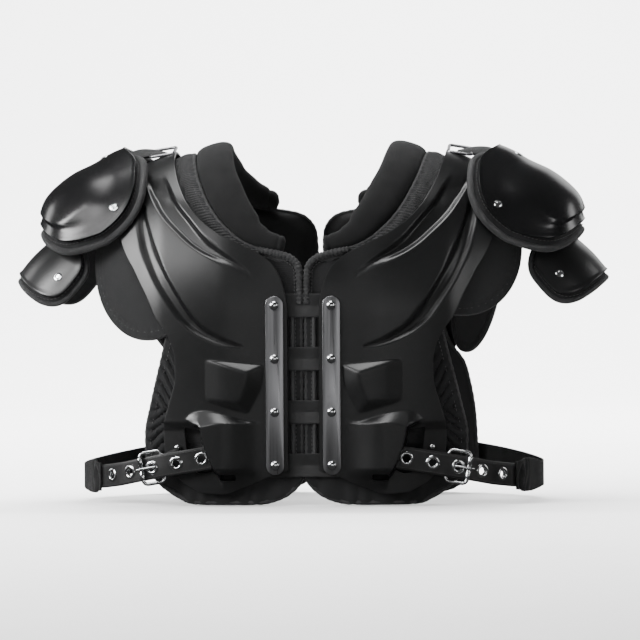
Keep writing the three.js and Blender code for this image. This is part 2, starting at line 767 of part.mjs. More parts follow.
// Roll beside the pad's neck edge: elliptical sections square to the edge that it follows
function neckRoll() {
  const edge = new THREE.CatmullRomCurve3(ROLL_ROUTE.map((row) => {
    const x = mix(PAD_CENTRE_GAP_HALF, SHELL_REACH, row.across);
    return offsetPoint(formFrame(x, row.station, 0), -padSetback() - PAD_THICKNESS / 2);
  }));
  const stations = new THREE.CatmullRomCurve3(ROLL_ROUTE.map((row) => {
    return new THREE.Vector3(mix(PAD_CENTRE_GAP_HALF, SHELL_REACH, row.across), row.station, 0);
  }));
  const sections = Array.from({ length: ROLL_SECTIONS }, (_, index) => {
    const share = index / (ROLL_SECTIONS - 1);
    const along = (1 - Math.cos(Math.PI * share)) / 2 * 0.4 + share * 0.6;
    const here = edge.getPoint(along);
    const spot = stations.getPoint(along);
    const normal = formFrame(spot.x, spot.y, 0).normal;
    const inward = normal.clone().cross(edge.getTangent(along)).normalize();
    const halfWidth = ROLL_HALF_WIDTH * sample(ROLL_SECTION, "along", along, "width");
    const halfThickness = ROLL_HALF_THICKNESS * sample(ROLL_SECTION, "along", along, "thickness");
    const centre = here.addScaledVector(inward, halfWidth + ROLL_CLEARANCE);
    return Array.from({ length: ROLL_SIDES }, (_, k) => {
      const angle = 2 * Math.PI * (k + 0.5) / ROLL_SIDES;
      return centre.clone()
        .addScaledVector(inward, halfWidth * Math.cos(angle))
        .addScaledVector(normal, halfThickness * Math.sin(angle));
    });
  });
  return loft(sections);
}

// A plate bent round the arm: arcs hang from a crest line in the plane y = 0, and each arc falls
// away along the leaning drop direction. s runs along the crest and t along the arc to the back.
function bentPlate({ crest, length, lean, innerRadius, outerRadius }) {
  const drop = new THREE.Vector3(-Math.sin(radians(lean)), 0, -Math.cos(radians(lean)));
  return (s, t) => {
    const share = Math.min(1, Math.max(0, s / length));
    const radius = mix(innerRadius, outerRadius, share);
    const top = crest.getPoint(share).addScaledVector(crest.getTangent(share), s - share * length);
    const angle = t / radius;
    top.addScaledVector(drop, radius * (1 - Math.cos(angle)));
    top.y += radius * Math.sin(angle);
    return top;
  };
}

function crestLine(rows, startX, reach, topZ, drop) {
  return new THREE.CatmullRomCurve3(rows.map((row) => {
    return new THREE.Vector3(startX + reach * row.reach, 0, topZ - drop * row.drop);
  }));
}

function cupSurface() {
  return bentPlate({
    crest: crestLine(CUP_CREST, CUP_START, CUP_REACH, CREST_HEIGHT + CUP_ABOVE_CREST, CUP_DROP),
    length: CUP_LENGTH,
    lean: CUP_LEAN_ANGLE,
    innerRadius: CUP_INNER_RADIUS,
    outerRadius: CUP_OUTER_RADIUS,
  });
}

function epauletSurface() {
  return bentPlate({
    crest: crestLine(
      EPAULET_CREST, EPAULET_START, EPAULET_REACH, CREST_HEIGHT - EPAULET_BELOW_CREST, EPAULET_DROP,
    ),
    length: EPAULET_LENGTH,
    lean: EPAULET_LEAN_ANGLE,
    innerRadius: EPAULET_RADIUS,
    outerRadius: EPAULET_RADIUS,
  });
}

// Frames over a rounded outline: rings of a square grid are drawn out to a superellipse, with
// p across it and q along it, both from -1 to 1. A backing has one more ring, its margin.
function roundedFrames(cells, roundness, frameAt, isBacking = false) {
  const rings = isBacking ? cells / 2 + 1 : cells / 2;
  const steps = Array.from({ length: 2 * rings + 1 }, (_, index) => index - rings);
  return steps.map((b) => steps.map((a) => {
    const ring = Math.max(Math.abs(a), Math.abs(b));
    const size = Math.min(1, 2 * ring / cells);
    if (ring === 0) {
      return frameAt(0, 0, false);
    }
    const angle = Math.atan2(b, a);
    const sum = Math.abs(Math.cos(angle)) ** roundness + Math.abs(Math.sin(angle)) ** roundness;
    const stretch = size * sum ** (-1 / roundness);
    return frameAt(stretch * Math.cos(angle), stretch * Math.sin(angle), 2 * ring > cells);
  }));
}

// Frames of the cup's outline. A backing's margin ring lies outside the cup's own edge.
function cupFrames(isBacking) {
  const place = cupSurface();
  const half = CUP_LENGTH / 2;
  return roundedFrames(CUP_CELLS, CUP_ROUNDNESS, (p, q, isMargin) => {
    const margin = isMargin ? CUP_PAD_MARGIN : 0;
    const endMargin = isMargin ? CUP_PAD_INNER_MARGIN : 0;
    const s = half + p * (half + (p < 0 ? endMargin : margin));
    const span = (CUP_HALF_SPAN + margin) * (1 - CUP_TAPER * Math.max(0, p));
    return { ...frameOf(place, s, q * span), p };
  }, isBacking);
}

function epauletFrames(isBacking) {
  const place = epauletSurface();
  const half = EPAULET_LENGTH / 2;
  return roundedFrames(EPAULET_CELLS, EPAULET_ROUNDNESS, (p, q, isMargin) => {
    const margin = isMargin ? EPAULET_PAD_MARGIN : 0;
    const s = half + p * half + Math.max(0, p) * margin;
    const span = EPAULET_HALF_SPAN * (1 - EPAULET_TAPER * (1 - p) / 2) + margin;
    return frameOf(place, s, q * span);
  }, isBacking);
}

// The cup's middle stands above the flange round its outer and lower edges
function cup() {
  const frames = cupFrames(false);
  const last = frames.length - 1;
  const outer = (r, c) => {
    const isEdge = r === 0 || c === 0 || r === last || c === last;
    return isEdge ? -CUP_FLANGE_STEP * ramp(frames[r][c].p, -0.85, -0.2) : 0;
  };
  return wall(frames, outer, (r, c) => outer(r, c) - CUP_WALL);
}

// Depth of the cup pad's outer face below the cup's, with the shoulder strap between them
function cupPadSetback() {
  return CUP_FLANGE_STEP + CUP_WALL + BACKING_CLEARANCE;
}

function cupPad() {
  const outer = -cupPadSetback();
  return wall(cupFrames(true), constant(outer), constant(outer - CUP_PAD_THICKNESS), PAD_EDGE_ROUND);
}

function epaulet() {
  return wall(epauletFrames(false), constant(0), constant(-EPAULET_WALL));
}

function epauletPad() {
  const outer = -EPAULET_WALL - BACKING_CLEARANCE;
  return wall(epauletFrames(true), constant(outer), constant(outer - EPAULET_PAD_THICKNESS), FLAP_EDGE_ROUND);
}

// A rounded flap that hangs under the shell's edge, on the body form
function armFlap({ inner, outer, bottom, top, clearance }) {
  const place = (x, z) => formPoint(x, stationAtHeight(x, z), 0);
  const frames = roundedFrames(FLAP_CELLS, FLAP_ROUNDNESS, (p, q) => {
    const x = mix(inner, outer, (1 + p) / 2) + FLAP_SLANT * q;
    const z = mix(bottom, top, (1 + q) / 2);
    return frameOf(place, x, z);
  });
  const face = -SHELL_WALL - clearance;
  return wall(frames, constant(face), constant(face - FLAP_THICKNESS), FLAP_EDGE_ROUND);
}

function frontPlate() {
  const radius = PLATE_WIDTH / 2;
  const outline = new THREE.Shape();
  outline.absarc(PLATE_CENTRE, PLATE_BOTTOM + PLATE_LENGTH - radius, radius, 0, Math.PI);
  outline.absarc(PLATE_CENTRE, PLATE_BOTTOM + radius, radius, Math.PI, 2 * Math.PI);
  for (const z of rivetHeights()) {
    const hole = new THREE.Path();
    hole.absarc(PLATE_CENTRE, z, RIVET_SHANK_RADIUS + METAL_CLEARANCE, 0, 2 * Math.PI);
    outline.holes.push(hole);
  }
  const settings = { depth: PLATE_THICKNESS, bevelEnabled: false, curveSegments: 4 };
  const plate = new THREE.ExtrudeGeometry(outline, settings).rotateX(Math.PI / 2);
  return plate.translate(0, -HALF_DEPTH - METAL_CLEARANCE, 0);
}

// Distance of the webbing's outer face from the plane y = 0. The webbing is flat and stays
// behind the shells' inner faces, also where the form starts to curve.
function webbingFace(z) {
  const top = Math.max(SPRING_HEIGHT, z + WEBBING_WIDTH / 2);
  const form = formPoint(LACE_HALF_LENGTH, stationAtHeight(LACE_HALF_LENGTH, top), 0);
  return -form.y - SHELL_WALL - STRAP_CLEARANCE;
}

function laceStrap(z) {
  const face = -webbingFace(z);
  const low = new THREE.Vector3(-LACE_HALF_LENGTH, face, z - WEBBING_WIDTH / 2);
  const high = new THREE.Vector3(LACE_HALF_LENGTH, face + WEBBING_THICKNESS, z + WEBBING_WIDTH / 2);
  return cut(block(low, high), [...rivetHoles(PLATE_CENTRE), ...rivetHoles(-PLATE_CENTRE)]);
}

function backStrap(z) {
  const face = webbingFace(z);
  const low = new THREE.Vector3(-LACE_HALF_LENGTH, face - WEBBING_THICKNESS, z - WEBBING_WIDTH / 2);
  const high = new THREE.Vector3(LACE_HALF_LENGTH, face, z + WEBBING_WIDTH / 2);
  return block(low, high);
}

// A domed rivet whose shank ends flush with the back of the webbing
function plateRivet(x, z) {
  const headFace = HALF_DEPTH + PLATE_THICKNESS + 2 * METAL_CLEARANCE;
  const shankEnd = webbingFace(z) - WEBBING_THICKNESS - headFace;
  const profile = [
    [0, shankEnd],
    [RIVET_SHANK_RADIUS, shankEnd],
    [RIVET_SHANK_RADIUS, 0],
    [RIVET_HEAD_RADIUS, 0],
    [RIVET_HEAD_RADIUS * 0.68, RIVET_HEAD_HEIGHT * 0.75],
    [0, RIVET_HEAD_HEIGHT],
  ].map(([radius, height]) => new THREE.Vector2(radius, height));
  const rivet = new THREE.LatheGeometry(profile, RIVET_SIDES);
  return outwards(bare(rivet)).rotateX(Math.PI).translate(x, -headFace, z);
}

// Corners of the belt's centre line seen from above, with the height of its middle at each
function beltCorners() {
  const start = new THREE.Vector3(BELT_TAIL_X, -depthAt(BELT_TAIL_X) - BELT_SEAT, 0);
  const corners = [start];
  BELT_FACETS.forEach((facet, index) => {
    const length = index === 0 ? BELT_TAIL_LENGTH
      : index === BELT_FACETS.length - 1 ? BELT_END_LENGTH : EYELET_PITCH;
    const heading = radians(facet.heading);
    const step = new THREE.Vector3(Math.cos(heading), Math.sin(heading), 0).multiplyScalar(length);
    corners.push(corners[index].clone().add(step));
  });
  corners.forEach((corner, index) => {
    const facet = BELT_FACETS[index];
    corner.z = BELT_HEIGHT * (facet ? facet.rise : BELT_END_RISE);
  });
  return corners;
}

// A flat strap on edge along a route of middle points, as tall as its width
function ribbon(route, width, thickness) {
  const normals = route.map((point, index) => {
    const before = route[Math.max(0, index - 1)];
    const after = route[Math.min(route.length - 1, index + 1)];
    const along = after.clone().sub(before).setZ(0).normalize();
    return new THREE.Vector3(along.y, -along.x, 0);
  });
  const frames = [-1, 1].map((edge) => route.map((point, index) => ({
    point: point.clone().setZ(point.z + edge * width(index) / 2),
    normal: normals[index],
  })));
  return wall(frames, constant(thickness / 2), constant(-thickness / 2));
}

// Places a piece that is modelled with X along a belt facet, Y out of the belt and Z up
function onFacet(geometry, index) {
  const corners = beltCorners();
  const middle = corners[index].clone().add(corners[index + 1]).multiplyScalar(0.5);
  const along = corners[index + 1].clone().sub(corners[index]).normalize();
  const out = new THREE.Vector3(along.y, -along.x, 0).normalize();
  const up = out.clone().cross(along);
  const matrix = new THREE.Matrix4().makeBasis(along, out, up).setPosition(middle);
  return outwards(bare(geometry.clone().applyMatrix4(matrix)));
}

function eyeletFacets() {
  return Array.from({ length: EYELET_COUNT }, (_, index) => index + 1);
}

function belt() {
  const strap = ribbon(beltCorners(), constant(BELT_WIDTH), BELT_THICKNESS);
  const radius = EYELET_BARREL_RADIUS + METAL_CLEARANCE;
  const hole = barAlongY(0, 0, -BELT_THICKNESS * 2, BELT_THICKNESS * 2, radius, EYELET_SIDES);
  return cut(strap, eyeletFacets().map((index) => onFacet(hole, index)));
}

function eyelet() {
  const back = -BELT_THICKNESS / 2 - METAL_CLEARANCE;
  const flange = BELT_THICKNESS / 2 + METAL_CLEARANCE;
  const profile = [
    [EYELET_HOLE_RADIUS, back],
    [EYELET_BARREL_RADIUS, back],
    [EYELET_BARREL_RADIUS, flange],
    [EYELET_FLANGE_RADIUS, flange],
    [EYELET_HOLE_RADIUS + 0.8, flange + EYELET_FLANGE_HEIGHT],
    [EYELET_HOLE_RADIUS, back],
  ].map(([radius, height]) => new THREE.Vector2(radius, height));
  return new THREE.LatheGeometry(profile, EYELET_SIDES);
}

// Buckle round the middle eyelet: the inner bar lies behind the belt, the roller in front of it,
// and the prong comes up through the eyelet to rest on the roller.
function buckle() {
  const halfLength = BUCKLE_LENGTH / 2 - BUCKLE_WIRE_RADIUS;
  const halfWidth = BUCKLE_WIDTH / 2 - BUCKLE_WIRE_RADIUS;
  const lift = BELT_THICKNESS / 2 + BUCKLE_ROLLER_RADIUS + METAL_CLEARANCE;
  const corner = BUCKLE_CORNER_RADIUS;
  const ring = [];
  for (const [sx, sz, start] of [[1, 1, 0], [-1, 1, 90], [-1, -1, 180], [1, -1, 270]]) {
    for (const turn of [15, 75]) {
      const angle = radians(start + turn);
      const x = sx * (halfLength - corner) + corner * Math.cos(angle);
      const z = sz * (halfWidth - corner) + corner * Math.sin(angle);
      ring.push(new THREE.Vector3(x, lift * x / halfLength, z));
    }
  }
  const rollerHalf = halfWidth - corner;
  const roller = wire([
    new THREE.Vector3(halfLength, lift, -rollerHalf),
    new THREE.Vector3(halfLength, lift, rollerHalf),
  ], BUCKLE_ROLLER_RADIUS, 8, false);
  const prong = wire([
    new THREE.Vector3(-halfLength, -lift, 0),
    new THREE.Vector3(-halfLength * 0.3, -lift * 0.95, 0),
    new THREE.Vector3(halfLength * 0.12, lift * 1.15, 0),
    new THREE.Vector3(halfLength * 1.1, lift + BUCKLE_ROLLER_RADIUS + PRONG_RADIUS * 0.6, 0),
  ], PRONG_RADIUS, 6, false);
  return join([wire(ring, BUCKLE_WIRE_RADIUS, 6, true), roller, prong]);
}

// Strap on the shell's side that holds the buckle, tapering towards it
function buckleAnchor() {
  const steps = [0, 0.5, 1];
  const route = steps.map((share) => {
    const x = mix(ANCHOR_START, ANCHOR_END, share);
    const seat = SEAT_CLEARANCE + ANCHOR_THICKNESS / 2;
    return new THREE.Vector3(x, -depthAt(x) - seat, mix(ANCHOR_HEIGHT, BELT_HEIGHT * 0.83, share));
  });
  return ribbon(route, (index) => mix(ANCHOR_WIDTH, BELT_WIDTH, steps[index]), ANCHOR_THICKNESS);
}

// Elastic sewn outside the belt's end, round the wearer's side, to the back of the shell
function elastic() {
  const corners = beltCorners();
  const end = corners[corners.length - 1];
  const heading = radians(BELT_FACETS[BELT_FACETS.length - 1].heading);
  const out = new THREE.Vector3(Math.sin(heading), -Math.cos(heading), 0);
  const overlap = BELT_THICKNESS / 2 + STRAP_CLEARANCE + ELASTIC_THICKNESS / 2;
  const back = new THREE.Vector3(-Math.cos(heading), -Math.sin(heading), 0).multiplyScalar(BELT_END_LENGTH * 0.6);
  const start = end.clone().add(back).addScaledVector(out, overlap);
  const round = ELASTIC_ROUTE.map((row) => {
    return new THREE.Vector3(row.across * HALF_WIDTH, row.depth * HALF_DEPTH, row.rise * BELT_HEIGHT);
  });
  const landing = ELASTIC_LANDING.map((across) => {
    const x = across * HALF_WIDTH;
    return new THREE.Vector3(x, depthAt(x) + SEAT_CLEARANCE + ELASTIC_THICKNESS / 2, BELT_HEIGHT);
  });
  const tip = end.clone().addScaledVector(out, overlap);
  return ribbon([start, tip, ...round, ...landing], constant(ELASTIC_WIDTH), ELASTIC_THICKNESS);
}

// A point above the shell's crest, at a distance y to the back of it
function crestPoint(x, y, lift) {
  const station = Math.acos(-y / depthAt(x)) * 180 / Math.PI;
  return offsetPoint(formFrame(x, station, 0), lift);
}

// Thickens a grid of points whose rows run from front to back and columns outwards
function strapOver(columns, halfWidth, thickness) {
  const place = (u, v) => {
    const index = Math.min(columns.length - 2, Math.max(0, Math.floor(u)));
    const from = columns[index](v);
    return from.lerp(columns[index + 1](v), u - index);
  };
  const frames = [-halfWidth, 0, halfWidth].map((y) => columns.map((_, index) => frameOf(place, index, y)));
  return wall(frames, constant(thickness / 2), constant(-thickness / 2));
}

// Strap from the ring on the shell up between the cup and its pad
function shoulderStrap() {
  const place = cupSurface();
  const seat = SEAT_CLEARANCE + SHOULDER_STRAP_THICKNESS / 2;
  const between = -CUP_WALL - CUP_FLANGE_STEP / 2 - BACKING_CLEARANCE / 2;
  const columns = [
    (y) => crestPoint(SHOULDER_STRAP_START, y, seat),
    (y) => crestPoint(RING_OUTER_BAR + 2 * RING_WIRE_RADIUS, y, seat),
    (y) => offsetPoint(frameOf(place, -CUP_PAD_INNER_MARGIN, y), between),
    (y) => offsetPoint(frameOf(place, CUP_LENGTH * 0.14, y), between),
  ];
  return strapOver(columns, SHOULDER_STRAP_WIDTH / 2, SHOULDER_STRAP_THICKNESS);
}

function shoulderRing() {
  const inner = RING_WIRE_RADIUS + SEAT_CLEARANCE;
  const outer = inner + SHOULDER_STRAP_THICKNESS + SEAT_CLEARANCE;
  const half = RING_WIDTH / 2;
  const points = [
    crestPoint(RING_INNER_BAR, 0, inner).setY(-half),
    crestPoint(RING_OUTER_BAR, 0, outer).setY(-half),
    crestPoint(RING_OUTER_BAR, 0, outer).setY(half),
    crestPoint(RING_INNER_BAR, 0, inner).setY(half),
  ];
  const rounded = points.flatMap((point, index) => {
    const before = points[(index + 3) % 4];
    const after = points[(index + 1) % 4];
    return [before.clone().lerp(point, 0.85), point.clone().lerp(after, 0.15)];
  });
  return wire(rounded, RING_WIRE_RADIUS, 6, true);
}

// Webbing that carries the epaulet: over the shell's end, then down inside the epaulet's pad
function hangerStrap() {
  const place = epauletSurface();
  const seat = SEAT_CLEARANCE + HANGER_THICKNESS / 2;
  const under = -EPAULET_WALL - BACKING_CLEARANCE - EPAULET_PAD_THICKNESS - seat - HANGER_SLACK;
  const fall = (x, z) => (y) => new THREE.Vector3(x, y, z - y * y / EPAULET_RADIUS / 2);
  const columns = [
    (y) => crestPoint(SHELL_REACH * 0.91, y, seat),
    (y) => crestPoint(SHELL_REACH * 0.99, y, seat),
    fall(SHELL_REACH * 1.04, CREST_HEIGHT * 0.905),
    fall(SHELL_REACH * 1.075, CREST_HEIGHT * 0.82),
    fall(SHELL_REACH * 1.09, CREST_HEIGHT * 0.765),
    (y) => offsetPoint(frameOf(place, EPAULET_LENGTH * 0.06, y), under),
    (y) => offsetPoint(frameOf(place, EPAULET_LENGTH * 0.36, y), under),
  ];
  return strapOver(columns, HANGER_WIDTH / 2, HANGER_THICKNESS);
}

for (const side of ["left", "right"]) {
  addSidePiece(side, "shell", shell(), MATERIALS.shellPlastic);
  addSidePiece(side, "body_pad", bodyPad(), MATERIALS.padFabric);
  addSidePiece(side, "neck_roll", neckRoll(), MATERIALS.rollFabric);
  addSidePiece(side, "cup", cup(), MATERIALS.cupPlastic);
  addSidePiece(side, "cup_pad", cupPad(), MATERIALS.padFabric);
  addSidePiece(side, "epaulet", epaulet(), MATERIALS.cupPlastic);
  addSidePiece(side, "epaulet_pad", epauletPad(), MATERIALS.padFabric);
  const frontFlap = armFlap({
    inner: FRONT_FLAP_INNER,
    outer: FRONT_FLAP_OUTER,
    bottom: FRONT_FLAP_BOTTOM[side],
    top: FRONT_FLAP_TOP,
    clearance: FRONT_FLAP_CLEARANCE,
  });
  const backFlap = armFlap({
    inner: BACK_FLAP_INNER,
    outer: BACK_FLAP_OUTER,
    bottom: BACK_FLAP_BOTTOM,
    top: BACK_FLAP_TOP,
    clearance: BACK_FLAP_CLEARANCE,
  });
  addSidePiece(side, "front_arm_flap", frontFlap, MATERIALS.padFabric);
  addSidePiece(side, "back_arm_flap", mirrored(backFlap, 1, -1), MATERIALS.padFabric);
  addSidePiece(side, "front_plate", frontPlate(), MATERIALS.satinSteel);
  addSidePiece(side, "belt_strap", belt(), MATERIALS.leather);
  addSidePiece(side, "belt_elastic", elastic(), MATERIALS.webbing);
  addSidePiece(side, "buckle", onFacet(buckle(), 3), MATERIALS.chrome);
  addSidePiece(side, "buckle_anchor", buckleAnchor(), MATERIALS.webbing);
  for (const index of eyeletFacets()) {
    addSidePiece(side, `belt_eyelet_${index}`, onFacet(eyelet(), index), MATERIALS.chrome);
  }
  addSidePiece(side, "shoulder_strap", shoulderStrap(), MATERIALS.webbing);
  addSidePiece(side, "shoulder_ring", shoulderRing(), MATERIALS.chrome);
  addSidePiece(side, "hanger_strap", hangerStrap(), MATERIALS.webbing);
}

rivetHeights().forEach((z, index) => {
  addPiece(`front_lace_strap_${index + 1}`, laceStrap(z), MATERIALS.webbing);
  addPiece(`left_plate_rivet_${index + 1}`, plateRivet(PLATE_CENTRE, z), MATERIALS.satinSteel);
  addPiece(`right_plate_rivet_${index + 1}`, plateRivet(-PLATE_CENTRE, z), MATERIALS.satinSteel);
});

BACK_STRAP_HEIGHTS.forEach((z, index) => {
  addPiece(`back_strap_${index + 1}`, backStrap(z), MATERIALS.webbing);
});

// The origin is the middle of the underside of the whole object's box
const bounds = new THREE.Box3().setFromObject(object);
const middle = bounds.getCenter(new THREE.Vector3());
object.position.set(-middle.x, -middle.y, -bounds.min.z);

export default object;
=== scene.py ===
"""Looks of an American football shoulder pad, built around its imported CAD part. Lengths in the tables and
shapes are millimetres in the part's own axes; in_scene() turns a point into metres in the shared frame."""

import bisect
import math

import bmesh
import bpy
from mathutils import Matrix, Vector


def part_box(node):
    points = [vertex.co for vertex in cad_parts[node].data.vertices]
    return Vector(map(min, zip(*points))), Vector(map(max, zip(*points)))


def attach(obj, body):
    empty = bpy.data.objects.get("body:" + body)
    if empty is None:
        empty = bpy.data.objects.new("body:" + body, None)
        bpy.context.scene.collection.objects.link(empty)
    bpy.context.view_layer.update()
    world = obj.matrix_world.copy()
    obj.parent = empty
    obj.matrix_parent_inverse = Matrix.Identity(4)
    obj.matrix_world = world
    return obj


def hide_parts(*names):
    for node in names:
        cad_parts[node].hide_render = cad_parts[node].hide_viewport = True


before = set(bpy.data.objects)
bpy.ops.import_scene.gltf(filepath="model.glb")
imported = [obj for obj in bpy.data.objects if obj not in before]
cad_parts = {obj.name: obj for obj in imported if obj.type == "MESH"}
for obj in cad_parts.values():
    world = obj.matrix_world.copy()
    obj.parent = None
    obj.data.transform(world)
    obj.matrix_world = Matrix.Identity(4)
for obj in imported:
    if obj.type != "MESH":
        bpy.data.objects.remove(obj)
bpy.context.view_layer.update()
MM = 0.001

# Body form: upright walls in front and behind, joined by a vault over the shoulders
HALF_WIDTH = 260
HALF_DEPTH = 145
FULLNESS = 2.4
SPRING_HEIGHT = 200
CREST_HEIGHT = 382
CREST_BREAK = 150
SHELL_REACH = 225
SHELL_WALL = 3
CENTRE_GAP_HALF = 17
PAD_GAP_HALF = 3
PAD_SETBACK = 7.4
PAD_THICKNESS = 14
PLATE_CENTRE = 30.5
PLATE_BOTTOM = 33
PLATE_LENGTH = 191
RIVET_HEIGHTS = [43, 100, 157, 214]
WEBBING_WIDTH = 25.4
BELT_HEIGHT = 52
BELT_WIDTH = 25.4
EYELET_PITCH = 28
EYELET_NUMBERS = range(1, 6)
BUCKLE_FACET = 3
# Millimetres of liner for one degree of station, and where thread lies on the liner
STATION_LENGTH = 2.2
LINER_INSET = 0.3 - PAD_SETBACK
CUP_ROUNDNESS = 2.4
EPAULET_ROUNDNESS = 3.2
FLAP_ROUNDNESS = 2.1
FLAP_FACE = 3.7
STRAP_END = 37

# The CAD centres its box on the origin, so its front plate tells how far the form moved back
PLATE_FACE = HALF_DEPTH + 2.3
SHIFT_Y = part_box("left_front_plate")[0].y / MM + PLATE_FACE

# Rows: station, then the inner and outer edges as shares of the way from the centre gap to the reach.
# The station runs from -90 at the front hem over the crest at 90 to 270 at the back hem.
SHELL_OUTLINE = [
    (-90, 0, 0.46), (-84, 0, 0.56), (-75, 0, 0.63), (-68, 0, 0.645), (-60, 0, 0.65), (-52, 0, 0.635),
    (-45, 0, 0.615), (-30, 0, 0.58), (-22, 0, 0.58), (-14, 0, 0.595), (-6, 0, 0.635), (3, 0, 0.7),
    (9, 0.02, 0.74), (14, 0.055, 0.775), (18, 0.12, 0.8), (22, 0.225, 0.83), (27, 0.36, 0.86),
    (35, 0.48, 0.89), (44, 0.55, 0.925), (58, 0.605, 0.965), (74, 0.63, 0.99), (90, 0.635, 1),
    (106, 0.625, 0.99), (118, 0.59, 0.97), (127, 0.535, 0.945), (135, 0.45, 0.92), (146, 0.22, 0.88),
    (150, 0.11, 0.865), (156, 0.03, 0.84), (165, 0, 0.79), (180, 0, 0.72), (200, 0, 0.64),
    (218, 0, 0.61), (236, 0, 0.64), (250, 0, 0.685), (262, 0, 0.67), (270, 0, 0.57),
]
SHELL_HEM = [(0, 1.35, 1.1), (0.25, 1.05, 0.8), (0.5, 0.7, 0.45), (0.75, 0.43, 0.3), (1, 0.5, 0.43)]
PAD_OUTLINE = [
    (-90, 0, 0.597), (-83, 0, 0.71), (-72, 0, 0.775), (-58, 0, 0.78), (-44, 0, 0.752), (-7, 0, 0.663),
    (4, 0, 0.642), (12, 0, 0.64), (16, 0.013, 0.64), (19, 0.117, 0.64), (22, 0.239, 0.642),
    (27, 0.342, 0.655), (36, 0.441, 0.7), (46, 0.502, 0.79), (60, 0.55, 0.883), (75, 0.572, 0.944),
    (90, 0.581, 0.967), (105, 0.577, 0.944), (120, 0.536, 0.873), (130, 0.477, 0.78), (138, 0.392, 0.7),
    (143, 0.293, 0.66), (146, 0.167, 0.645), (149, 0.067, 0.64), (155, 0.013, 0.625), (182, 0, 0.615),
    (195, 0, 0.65), (206, 0, 0.73), (236, 0, 0.785), (262, 0, 0.794), (270, 0, 0.681),
]
PAD_HEM = [(0, 1), (0.06, 0.68), (0.15, 0.36), (0.3, 0.12), (0.45, 0), (0.8, 0), (0.93, 0.1), (1, 0.3)]
ROLL_ROUTE = [
    (0.092, 18.3), (0.144, 19.3), (0.212, 20.6), (0.293, 23.4), (0.36, 28), (0.441, 36), (0.502, 46),
    (0.55, 60), (0.572, 75), (0.581, 90), (0.577, 105), (0.536, 120), (0.482, 129.5), (0.392, 138),
    (0.293, 143), (0.203, 145.3),
]
ROLL_SECTION = [
    (0, 0.46, 0.7), (0.08, 0.52, 0.78), (0.2, 0.74, 0.88), (0.4, 0.98, 1), (0.6, 0.98, 1), (0.8, 0.82, 0.9),
    (0.92, 0.66, 0.8), (1, 0.5, 0.7),
]
CUP_CREST = [(0, 0), (0.252, 0.124), (0.492, 0.278), (0.717, 0.457), (0.908, 0.692), (1, 1)]
EPAULET_CREST = [(0, 0), (0.26, 0.2), (0.51, 0.42), (0.76, 0.68), (1, 1)]

# Channels in the chest: x, z and half width
NECK_CHANNEL = [
    (166, 352, 10), (161, 342, 9.6), (147, 318, 9.2), (130, 299, 8.4), (112, 281, 6.6), (94, 269, 4.4),
    (76, 260, 2.2), (59, 250, 0.8),
]
ARM_CHANNEL = [
    (178, 318, 3.5), (177, 306, 4.4), (173, 291, 5.2), (167, 272, 6.2), (155, 246, 6.4), (141, 223, 6),
    (126, 202, 5.4), (109, 187, 4), (87, 176, 2.6), (66, 170, 1),
]
BELT_FACETS = [(3, 1.06), (6, 1.01), (12, 0.92), (21, 0.83), (34, 0.73), (48, 0.63), (60, 0.57)]
ELASTIC_ROUTE = [
    (0.932, -0.31, 0.54), (0.958, -0.19, 0.53), (0.968, -0.04, 0.53), (0.962, 0.12, 0.55), (0.93, 0.29, 0.59),
    (0.872, 0.47, 0.65), (0.795, 0.64, 0.72), (0.715, 0.77, 0.78),
]


# Numbers and surfaces

def mix(low, high, share):
    return low + (high - low) * share


def ramp(value, start, end):
    share = min(1, max(0, (value - start) / (end - start)))
    return share * share * (3 - 2 * share)


def read(rows, at, column):
    """A column of a table at a place between its rows, on a smooth curve with no overshoot."""
    if at <= rows[0][0]:
        return rows[0][column]
    if at >= rows[-1][0]:
        return rows[-1][column]
    k = bisect.bisect_right([row[0] for row in rows], at) - 1

    def slope(i):
        return (rows[i + 1][column] - rows[i][column]) / (rows[i + 1][0] - rows[i][0])

    def tangent(i):
        if i == 0:
            return slope(0)
        if i == len(rows) - 1:
            return slope(i - 1)
        before, after = slope(i - 1), slope(i)
        return 0 if before * after <= 0 else 2 * before * after / (before + after)

    span = rows[k + 1][0] - rows[k][0]
    t = (at - rows[k][0]) / span
    start, end = rows[k][column], rows[k + 1][column]
    return (
        start * (2 * t ** 3 - 3 * t ** 2 + 1) + end * (3 * t ** 2 - 2 * t ** 3)
        + span * tangent(k) * (t ** 3 - 2 * t ** 2 + t) + span * tangent(k + 1) * (t ** 3 - t ** 2)
    )


def in_scene(point):
    return Vector((point.x, point.y + SHIFT_Y, point.z)) * MM


def depth_at(x):
    return HALF_DEPTH * (1 - (min(abs(x), 0.999 * HALF_WIDTH) / HALF_WIDTH) ** FULLNESS) ** (1 / FULLNESS)


def crest_at(x):
    beyond = abs(x) - CREST_BREAK
    return CREST_HEIGHT - 0.3 * beyond - 0.0025 * max(0, beyond) ** 2


def form_point(x, station, hem=0.0):
    depth = depth_at(x)
    if station < 0:
        return Vector((x, -depth, mix(hem, SPRING_HEIGHT, 1 + station / 90)))
    if station > 180:
        return Vector((x, depth, mix(hem, SPRING_HEIGHT, 3 - station / 90)))
    angle = math.radians(station)
    rise = (crest_at(x) - SPRING_HEIGHT) * math.sin(angle)
    return Vector((x, -depth * math.cos(angle), SPRING_HEIGHT + rise))


def station_at(x, z):
    if z < SPRING_HEIGHT:
        return (z / SPRING_HEIGHT - 1) * 90
    return math.degrees(math.asin(min(1, (z - SPRING_HEIGHT) / (crest_at(x) - SPRING_HEIGHT))))


def frame_of(place, u, v, step=0.25):
    """Point and outward normal of a surface place(u, v)."""
    along = place(u + step, v) - place(u - step, v)
    across = place(u, v + step) - place(u, v - step)
    return place(u, v), along.cross(across).normalized()


def lifted(surface_frame, offset):
    return surface_frame[0] + surface_frame[1] * offset


